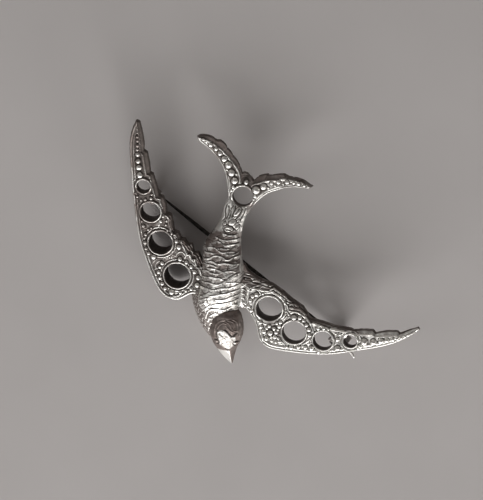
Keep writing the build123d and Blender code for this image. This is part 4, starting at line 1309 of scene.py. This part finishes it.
def make_head(name, material):
    rings = np.array(HEAD_RINGS)
    along = np.arange(-rings[0, 0], -rings[-1, 0], HEAD_STEP)
    columns = [np.interp(along, -rings[:, 0], rings[:, i]) for i in range(1, 7)]
    columns = [np.convolve(np.pad(c, 2, "edge"), np.ones(5) / 5, "valid")[:, None] for c in columns]
    cx, cz, half, up, down, sided = columns
    angle = np.linspace(0, 2 * math.pi, HEAD_AROUND, endpoint=False)
    ca, sa = np.cos(angle), np.sin(angle)
    radius = 1 + sided * (beak_radius(angle) - 1)
    x = (cx + half * ca * radius).ravel()
    z = (cz + np.where(sa > 0, up, down) * sa * radius).ravel()
    y = np.repeat(-along, HEAD_AROUND)
    nx, nz = np.tile(ca, len(along)), np.tile(sa, len(along))
    spots = np.stack([x, y, z], 1)
    flat = spots[:, :2]
    upper = soft_step((nz + 0.1) / 0.5)
    in_patch = inside(flat, np.array(FACE_PATCH)) & (z > cz.max())
    edge = distance_to(flat, FACE_PATCH + FACE_PATCH[:1], 0.6)
    face = soft_step(0.5 + np.where(in_patch, edge, -edge) / 0.35 + 0.35 * noise(spots, 0.45, 54)) * upper
    mottle = noise(spots, 0.5, 58) + 0.8 * noise(spots, 0.22, 59)
    lift = 0.03 * noise(spots, (0.32, 1.1, 0.6), 51)
    lift += 0.05 * noise(spots, 0.9, 52) + 0.03 * noise(spots, 0.4, 53)
    lift = lift * soft_step((y + 16.4) / 1.2) + 0.06 * face + 0.05 * face * noise(spots, 0.28, 57)
    dark_line = np.zeros(len(x))
    for line, width, depth in FACE_LINES:
        near = soft_step(1 - distance_to(flat, smooth_line(line), 0.6) / width) * upper
        lift -= depth * near
        dark_line = np.maximum(dark_line, near)
    for line in CROWN_CURLS:
        d = distance_to(flat, smooth_line(line), 0.6)
        lift += 0.055 * upper * np.clip(1 - (d / 0.13) ** 2, 0, 1)
        lift -= 0.04 * upper * soft_step(1 - np.abs(d - 0.2) / 0.1)
    for ex, ey, size in EYES:
        r = apart(flat, ex, ey) / size
        lift += 0.2 * upper * np.sqrt(np.clip(1 - r**2, 0, 1))
        lift -= 0.16 * upper * soft_step(1 - np.abs(r - 1.3) / 0.5)
        dark_line = np.maximum(dark_line, upper * soft_step(1 - np.abs(r - 1.35) / 0.55))
    nostril = np.linalg.norm((flat - NOSTRIL) / [0.5, 0.26], axis=1)
    lift -= 0.12 * upper * soft_step(1 - nostril)
    lift -= 0.08 * soft_step(1 - np.abs(nz + 0.25) / 0.09) * soft_step((-14.8 - y) / 0.6)
    points = spots + np.stack([nx, 0 * nx, nz], 1) * lift[:, None]
    faces = grid_faces(len(along), HEAD_AROUND)
    # Painted highlight: the beak's left face, towards the light, is made lighter with less stain and more
    # polish.
    arris = np.interp(-y, [-b for _, b in BEAK_ARRIS], [a for a, _ in BEAK_ARRIS])
    painted_beak_highlight = soft_step((-15.9 - y) / 0.6) * soft_step((arris - x + 0.1) / 0.2)
    painted_beak_highlight *= soft_step((nz + 0.6) / 0.3)
    bright = np.maximum(face, painted_beak_highlight)
    side = soft_step(np.abs(x + 1.2) - 2.1) * upper
    hollow = 0.55 + 2.4 * tube_finish(points, faces, 16) - 0.25 * bright
    hollow += 0.3 * dark_line + 0.2 * face * mottle
    stain = 0.9 - 0.75 * bright - 0.1 * side + 0.15 * noise(spots, 0.8, 55)
    polish = 0.2 - 0.12 * face + 0.9 * painted_beak_highlight * (1 - face) + 0.1 * side + 0.12 * noise(spots, 0.5, 56)
    polish += 0.25 * face * mottle
    caps = [points[:HEAD_AROUND].mean(0), points[-HEAD_AROUND:].mean(0)]
    finish = np.column_stack([hollow, stain, polish])
    return ringed_piece(name, points, faces, caps, finish, HEAD_AROUND, material)


# Breast, which the brooch rests on

BREAST_CENTRE = np.array([-3.8, -8.7, -1.856])
BREAST_RADIUS = 3.6
BREAST_HALF_LENGTH = 7.6
BREAST_TURN = 23.0
BREAST_AROUND = 190
FEATHER_LENGTH = 1.05
FEATHER_WIDTH = 1.3


def make_breast(name, material):
    a = np.repeat(np.linspace(0.02, math.pi - 0.02, BREAST_AROUND), BREAST_AROUND)
    b = np.tile(np.linspace(0, 2 * math.pi, BREAST_AROUND, endpoint=False), BREAST_AROUND)
    ball = np.stack([np.sin(a) * np.cos(b), np.cos(a), np.sin(a) * np.sin(b)], 1)
    size = np.array([BREAST_RADIUS, BREAST_HALF_LENGTH, BREAST_RADIUS])
    turn = turn_z(BREAST_TURN).T
    spots = (ball * size) @ turn + BREAST_CENTRE
    normal = (ball / size) @ turn
    normal /= np.linalg.norm(normal, axis=1)[:, None]
    cell = noise(spots, 0.7, 61)
    high = 1 - soft_step((0.2 - normal[:, 2]) / 0.5)
    along, turned = a * BREAST_HALF_LENGTH, b * BREAST_RADIUS
    row = along / FEATHER_LENGTH + 0.3 * np.cos(2 * math.pi * turned / FEATHER_WIDTH) + 0.55 * cell
    free = row - np.floor(row)
    barbs = noise(np.stack([turned, along], 1), (0.16, 0.9), 63)
    lift = 0.13 * free * soft_step((1 - free) / 0.15) - 0.06 + 0.03 * barbs + 0.04 * noise(spots, 1.6, 62)
    points = spots + normal * (lift * (0.2 + 0.8 * high) - 0.03)[:, None]
    faces = grid_faces(BREAST_AROUND, BREAST_AROUND)
    hollow = 0.52 + 2.6 * tube_finish(points, faces, 14) + 0.3 * soft_step(1 - free / 0.16) * high
    polish = 0.24 + 0.25 * soft_step((free - 0.55) / 0.2) * high
    finish = np.column_stack([hollow, 0.65 + 0.2 * cell, polish])
    ring = np.arange(BREAST_AROUND)
    ends = [ring[::-1].tolist(), (ring + len(points) - BREAST_AROUND).tolist()]
    return new_piece(name, to_part(points), faces.tolist() + ends, finish, material)


# Findings on the back: the hinge's ears and shank, the catch's hook and a small lug

RECORD = frame["record"]
PIVOT = np.array(RECORD["behaviour"]["joints"][0]["pos_m"]) / MM
PIN_ALONG = next(mount["axis"] for mount in RECORD["mounts"] if mount["name"] == "cloth_pin")
HINGE_LEAN = 12.0
EAR_RADIUS = 1.3
EAR_THICKNESS = 0.7
BARREL_WIDTH = 1.4
HINGE_GAP = 0.08
RIVET_HOLE = 0.44
SHANK_HALF = 1.1
BRIDGE = 1.08
SHANK_TOP = 6.36
CATCH_REACH = 46.777
HOOK_OUTER = 0.95
HOOK_INNER = 0.45
HOOK_ARC = (75.0, 246.0)
HOOK_HALF_WIDTH = 0.9
POST_SIDES = (-0.725, 0.275)
POST_FOOT = 0.7
POST_TOP = 4.87
LUG_PLACE = (21.32, 7.79)
LUG_TURN = 47.0
LUG_HALF = (1.45, 0.22, 0.22)
LUG_TONE = (0.42, 0.4, 0.5)
FINDING_TONE = (0.45, 0.4, 0.35)
ROUNDING = 0.09
PRISM_STEP = 0.22


def arc(radius, first, last, step=8.0):
    a = np.radians(np.linspace(first, last, max(3, int(abs(last - first) / step) + 1)))
    return radius * np.stack([np.cos(a), np.sin(a)], 1)


def prism(name, outline, holes, half, place, material, tone=FINDING_TONE):
    """Flat-sided piece with rounded edges; outline and holes run anticlockwise."""
    loops = [resample(np.concatenate([outline, outline[:1]]), PRISM_STEP)[:-1]]
    loops += [hole[::-1] for hole in holes]
    inner = [offset_loop(loop, ROUNDING) for loop in loops]

    def keep(points):
        ok = inside(points, inner[0])
        for hole in inner[1:]:
            ok &= ~inside(points, hole)
        return ok

    cap, faces = triangles_of(np.zeros((0, 2)), inner, keep)
    points = [np.column_stack([cap, np.full(len(cap), z)]) for z in (half, -half)]
    all_faces = faces.tolist() + (faces[:, ::-1] + len(cap)).tolist()
    start = 2 * len(cap)
    rounded = ROUNDING * math.sqrt(0.5)
    for loop, small in zip(loops, inner):
        middle = offset_loop(loop, ROUNDING - rounded)
        rows = [(small, half), (middle, half - ROUNDING + rounded), (loop, half - ROUNDING)]
        rows += [(loop, ROUNDING - half), (middle, ROUNDING - rounded - half), (small, -half)]
        count = len(loop)
        for ring, level in rows:
            points.append(np.column_stack([ring, np.full(count, level)]))
        i = np.arange(count)
        j = (i + 1) % count
        for row in range(len(rows) - 1):
            a, b = start + row * count, start + (row + 1) * count
            all_faces += np.stack([a + i, b + i, b + j, a + j], 1).tolist()
        start += len(rows) * count
    points = place(np.concatenate(points))
    finish = np.tile(np.array(tone), (len(points), 1))
    finish[:, 0] += 0.12 * noise(points, 0.8, 71)
    finish[:, 1] += 0.3 * noise(points, 1.4, 72)
    piece = new_piece(name, points, all_faces, finish, material)
    merge_close(piece)
    return piece


def offset_loop(loop, distance):
    """Closed loop drawn in to its left."""
    d = np.roll(loop, -1, 0) - np.roll(loop, 1, 0)
    d /= np.maximum(np.hypot(d[:, 0], d[:, 1]), SMALL)[:, None]
    return loop + distance * np.stack([-d[:, 1], d[:, 0]], 1)


def merge_close(piece):
    work = bmesh.new()
    work.from_mesh(piece.data)
    bmesh.ops.remove_doubles(work, verts=work.verts, dist=1e-7)
    bmesh.ops.recalc_face_normals(work, faces=work.faces)
    work.to_mesh(piece.data)
    work.free()


def pin_axes():
    """Directions along the closed pin, across it and up to the wings."""
    along = np.array(PIN_ALONG) / np.linalg.norm(PIN_ALONG)
    across = np.cross([0, 0, 1], along)
    across /= np.linalg.norm(across)
    return along, across, np.cross(along, across)


def make_hinge(material):
    along, across, up = pin_axes()
    lean = math.radians(HINGE_LEAN)
    side = across * math.cos(lean) + up * math.sin(lean)
    rise = up * math.cos(lean) - across * math.sin(lean)
    corner = math.degrees(math.asin(SHANK_HALF / EAR_RADIUS))
    low = arc(EAR_RADIUS, -270 + corner, 90 - corner)
    ear = np.concatenate([low, [[SHANK_HALF, 2 * BRIDGE], [-SHANK_HALF, 2 * BRIDGE]]])
    hole = arc(RIVET_HOLE, 0, 345, 15)
    reach = BARREL_WIDTH / 2 + HINGE_GAP + EAR_THICKNESS
    made = []
    for number, sign in (("one", -1), ("two", 1)):
        middle = sign * (reach - EAR_THICKNESS / 2)

        def place(p, middle=middle):
            return PIVOT + p[:, :1] * along + p[:, 1:2] * rise - (p[:, 2:] - middle) * side

        made.append(prism(f"hinge_ear_{number}", ear, [hole], EAR_THICKNESS / 2, place, material))
    block = np.array([(-1, -1), (1, -1), (1, 1), (-1, 1)]) * [SHANK_HALF, reach]
    half = (SHANK_TOP - BRIDGE) / 2

    def place_shank(p):
        return PIVOT + p[:, :1] * along + p[:, 1:2] * side + (p[:, 2:] + BRIDGE + half) * rise

    made.append(prism("hinge_shank", block, [], half, place_shank, material))
    return made


def make_catch(material):
    along, across, up = pin_axes()
    origin = PIVOT + along * CATCH_REACH
    touch = math.degrees(math.acos(-math.sqrt(HOOK_OUTER**2 - POST_FOOT**2) / HOOK_OUTER))
    left, right = POST_SIDES
    first, last = HOOK_ARC
    step = math.tan(math.radians(90 - first)) * POST_FOOT
    profile = np.concatenate([
        [[right, POST_FOOT], [right, POST_TOP], [left, POST_TOP], [left, POST_FOOT]],
        arc(HOOK_OUTER, touch, last),
        arc(HOOK_INNER, last, first),
        [[step, POST_FOOT]],
    ])

    def place(p):
        return origin + p[:, :1] * across + p[:, 1:2] * up + p[:, 2:] * along

    return prism("catch_hook", profile, [], HOOK_HALF_WIDTH, place, material)


def make_lug(material):
    long, wide, half = LUG_HALF
    corners = np.array([(-long, -wide), (long, -wide), (long, wide), (-long, wide)])
    level = -wing_thickness(LUG_PLACE[0] / RIGHT_WING["length"])
    turn = turn_z(LUG_TURN)[:2, :2].T

    def place(p):
        return wing_frame(RIGHT_WING, p[:, :2] @ turn + LUG_PLACE, p[:, 2] + level)

    return prism("lug", corners, [], half, place, material, LUG_TONE)


# Materials


def new_material(name):
    """Material with its node tree, its shader and its coordinates in the part's frame."""
    material = bpy.data.materials.new(name)
    material.use_nodes = True
    tree = material.node_tree
    where = tree.nodes.new("ShaderNodeTexCoord").outputs["Object"]
    return material, tree, tree.nodes["Principled BSDF"], where


def join(tree, socket, value):
    """Sets a socket to a number or colour, or links it to another socket."""
    if isinstance(value, tuple):
        socket.default_value = (*value, 1)
    elif isinstance(value, (int, float)):
        socket.default_value = value
    else:
        tree.links.new(value, socket)


def ramp(tree, source, stops):
    """Colour ramp of stops, each a place and a grey or a colour."""
    node = tree.nodes.new("ShaderNodeValToRGB")
    elements = node.color_ramp.elements
    while len(elements) < len(stops):
        elements.new(0.5)
    for element, (place, value) in zip(elements, stops):
        element.position = place
        element.color = (*value, 1) if isinstance(value, tuple) else (value, value, value, 1)
    tree.links.new(source, node.inputs["Fac"])
    return node.outputs["Color"]


def maths(tree, operation, *values):
    node = tree.nodes.new("ShaderNodeMath")
    node.operation = operation
    for socket, value in zip(node.inputs, values):
        join(tree, socket, value)
    return node.outputs[0]


def mix_colour(tree, factor, a, b):
    node = tree.nodes.new("ShaderNodeMix")
    node.data_type = "RGBA"
    for number, value in ((0, factor), (6, a), (7, b)):
        join(tree, node.inputs[number], value)
    return node.outputs[2]


def noise_texture(tree, scale, detail, coordinates):
    node = tree.nodes.new("ShaderNodeTexNoise")
    node.inputs["Scale"].default_value = scale
    node.inputs["Detail"].default_value = detail
    tree.links.new(coordinates, node.inputs["Vector"])
    return node.outputs["Fac"]


def add_bump(tree, shader, height, strength, distance):
    bump = tree.nodes.new("ShaderNodeBump")
    bump.inputs["Strength"].default_value = strength
    bump.inputs["Distance"].default_value = distance
    tree.links.new(height, bump.inputs["Height"])
    tree.links.new(bump.outputs["Normal"], shader.inputs["Normal"])


DARK_TARNISH = (0.105, 0.088, 0.079)
BROWN_TARNISH = (0.248, 0.200, 0.182)
WORN_METAL = (0.47, 0.45, 0.43)
BRIGHT_METAL = (0.86, 0.845, 0.81)
# Wire colours: dark steel, painted darker still as shade.
DARK_WIRE = (0.028, 0.025, 0.023)
DULL_WIRE = (0.055, 0.05, 0.046)
RUBBED_WIRE = (0.10, 0.095, 0.09)
FLOOR_SHADE = (0.50, 0.476, 0.468)
FLOOR_LIGHT = (0.53, 0.505, 0.497)


def antique_metal():
    """Cast white metal, dull and dark in its hollows and worn bright on its high points; its finish values
    also carry painted shade and painted highlights.
    """
    material, tree, shader, where = new_material("antique_cast_metal")
    finish = tree.nodes.new("ShaderNodeAttribute")
    finish.attribute_name = "finish"
    parts = tree.nodes.new("ShaderNodeSeparateColor")
    tree.links.new(finish.outputs["Color"], parts.inputs["Color"])
    # The hollow and polish values hold painted shade and painted highlights as well as patina and wear.
    hollow, stain, polish = parts.outputs
    grain = noise_texture(tree, 2600, 4, where)
    patches = noise_texture(tree, 700, 5, where)
    deep = maths(tree, "MULTIPLY_ADD", patches, 0.25, hollow)
    deep = maths(tree, "SUBTRACT", maths(tree, "MULTIPLY_ADD", stain, 0.16, deep), 0.189)
    tarnish = ramp(tree, deep, [(0.44, 0.0), (0.56, 0.3), (0.70, 0.8), (0.86, 1.0)])
    worn = mix_colour(tree, ramp(tree, stain, [(0.15, 0.0), (0.95, 1.0)]), WORN_METAL, BROWN_TARNISH)
    high = maths(tree, "SUBTRACT", maths(tree, "ADD", polish, 0.42), deep)
    bright = ramp(tree, high, [(0.28, 0.0), (0.62, 1.0)])
    colour = mix_colour(tree, tarnish, mix_colour(tree, bright, worn, BRIGHT_METAL), DARK_TARNISH)
    tree.links.new(colour, shader.inputs["Base Color"])
    rough = maths(tree, "MULTIPLY_ADD", tarnish, 0.16, 0.5)
    rough = maths(tree, "MULTIPLY_ADD", bright, -0.17, rough)
    rough = maths(tree, "MULTIPLY_ADD", grain, 0.1, rough)
    tree.links.new(rough, shader.inputs["Roughness"])
    tree.links.new(maths(tree, "MULTIPLY_ADD", tarnish, -0.45, 0.9), shader.inputs["Metallic"])
    add_bump(tree, shader, maths(tree, "MULTIPLY_ADD", patches, 1.5, grain), 0.45, 0.04 * MM)
    return material


def wire_metal():
    """Dark drawn steel wire with fine lines and small dark spots, painted darker still as the shade it lies
    in under the wings.
    """
    material, tree, shader, where = new_material("shaded_pin_wire")
    spots = noise_texture(tree, 1500, 5, where)
    grain = noise_texture(tree, 5200, 2, where)
    colour = ramp(tree, spots, [(0.35, DARK_WIRE), (0.58, DULL_WIRE), (0.78, RUBBED_WIRE)])
    tree.links.new(colour, shader.inputs["Base Color"])
    tree.links.new(maths(tree, "MULTIPLY_ADD", grain, 0.2, 0.34), shader.inputs["Roughness"])
    shader.inputs["Metallic"].default_value = 1.0
    add_bump(tree, shader, grain, 0.35, 0.02 * MM)
    return material


def floor_material():
    material, tree, shader, where = new_material("pale_card")
    cloud = noise_texture(tree, 30, 3, where)
    colour = ramp(tree, cloud, [(0.3, FLOOR_SHADE), (0.7, FLOOR_LIGHT)])
    tree.links.new(colour, shader.inputs["Base Color"])
    shader.inputs["Roughness"].default_value = 0.85
    shader.inputs["Specular IOR Level"].default_value = 0.25
    add_bump(tree, shader, noise_texture(tree, 2500, 2, where), 0.25, 0.04 * MM)
    return material


# Pieces of the bird

cast = antique_metal()
pieces = [
    make_wing("left_wing", LEFT_WING, cast),
    make_wing("right_wing", RIGHT_WING, cast),
    make_tail("tail_fork", cast),
    make_body("body", cast),
    make_head("head", cast),
    make_breast("breast", cast),
    *make_hinge(cast),
    make_catch(cast),
    make_lug(cast),
]
for piece in pieces:
    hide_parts("swallow")
wire = wire_metal()
for node in ("pin_stem", "hinge_rivet"):
    materials = frame["nodes"][node].data.materials
    materials.clear()
    materials.append(wire)

# Floor, light and camera

FLOOR_SIZE = 1.6
LOOK_AT = Vector((-6.421, -2.185, 0.050)) * MM
CAMERA_TILT = 12.0
CAMERA_DISTANCE = 280.0 * MM
FRAME_HEIGHT = 100.0 * MM
SENSOR = 36.0
LIGHT_DISTANCE = 1.2
WINDOW_SILL = 0.002
# Lights: name, azimuth from -Y towards -X, elevation or none for a window, size, power, colour
LIGHTS = [
    ("window", 10.0, None, (1.38, 1.12), 27.2, (1.0, 0.99, 0.98)),
    ("side_window", -40.0, None, (0.5, 0.44), 4.8, (1.0, 0.97, 0.94)),
    ("left_light", 85.0, 42.0, (0.5, 0.5), 1.3, (1.0, 0.98, 0.96)),
]
# Room: place from the windows' side to the far side, colour
ROOM = [
    (0.1, (3.2, 2.95, 2.8)),
    (0.25, (0.9, 0.85, 0.82)),
    (0.5, (0.9, 0.87, 0.85)),
    (1.0, (1.5, 1.5, 1.5)),
]
SKY_STRENGTH = 0.11


def make_floor():
    mesh = bpy.data.meshes.new("floor")
    s = FLOOR_SIZE / 2
    mesh.from_pydata([(-s, -s, 0), (s, -s, 0), (s, s, 0), (-s, s, 0)], [], [(0, 1, 2, 3)])
    mesh.materials.append(floor_material())
    floor = bpy.data.objects.new("floor", mesh)
    bpy.context.scene.collection.objects.link(floor)
    floor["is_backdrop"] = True


def make_camera():
    data = bpy.data.cameras.new("camera")
    data.sensor_width = SENSOR
    data.lens = SENSOR * CAMERA_DISTANCE / FRAME_HEIGHT
    data.clip_start, data.clip_end = 0.01, 5
    camera = bpy.data.objects.new("camera", data)
    tilt = math.radians(CAMERA_TILT)
    camera.location = LOOK_AT + CAMERA_DISTANCE * Vector((0, math.sin(tilt), math.cos(tilt)))
    camera.rotation_euler = (-tilt, 0, 0)
    bpy.context.scene.collection.objects.link(camera)
    bpy.context.scene.camera = camera


def make_light(name, azimuth, elevation, size, power, colour):
    """Soft light that faces the brooch, raised or standing just over the floor as a window does."""
    data = bpy.data.lights.new(name, "AREA")
    data.shape = "RECTANGLE"
    data.size, data.size_y = size
    data.energy = power
    data.color = colour
    light = bpy.data.objects.new(name, data)
    a, rise = math.radians(azimuth), math.radians(elevation or 0)
    back = Vector((-math.sin(a) * math.cos(rise), -math.cos(a) * math.cos(rise), math.sin(rise)))
    light.location = LOOK_AT + back * LIGHT_DISTANCE
    if elevation is None:
        light.location.z = size[1] / 2 + WINDOW_SILL
    light.rotation_euler = back.to_track_quat("Z", "Y").to_euler()
    bpy.context.scene.collection.objects.link(light)


def make_world():
    """Dim room, a little lighter on the windows' side."""
    world = bpy.data.worlds.new("room")
    world.use_nodes = True
    tree = world.node_tree
    split = tree.nodes.new("ShaderNodeSeparateXYZ")
    tree.links.new(tree.nodes.new("ShaderNodeTexCoord").outputs["Generated"], split.inputs[0])
    side = maths(tree, "MULTIPLY_ADD", split.outputs[1], -0.5, 0.5)
    background = tree.nodes["Background"]
    tree.links.new(ramp(tree, side, ROOM), background.inputs["Color"])
    background.inputs["Strength"].default_value = SKY_STRENGTH
    bpy.context.scene.world = world


make_floor()
make_camera()
for light in LIGHTS:
    make_light(*light)
make_world()
bpy.context.scene.view_settings.view_transform = "Standard"

boxes = {"cad": cad_box, "visual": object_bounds()}
{k: [list(c) for c in v] for k, v in boxes.items()}
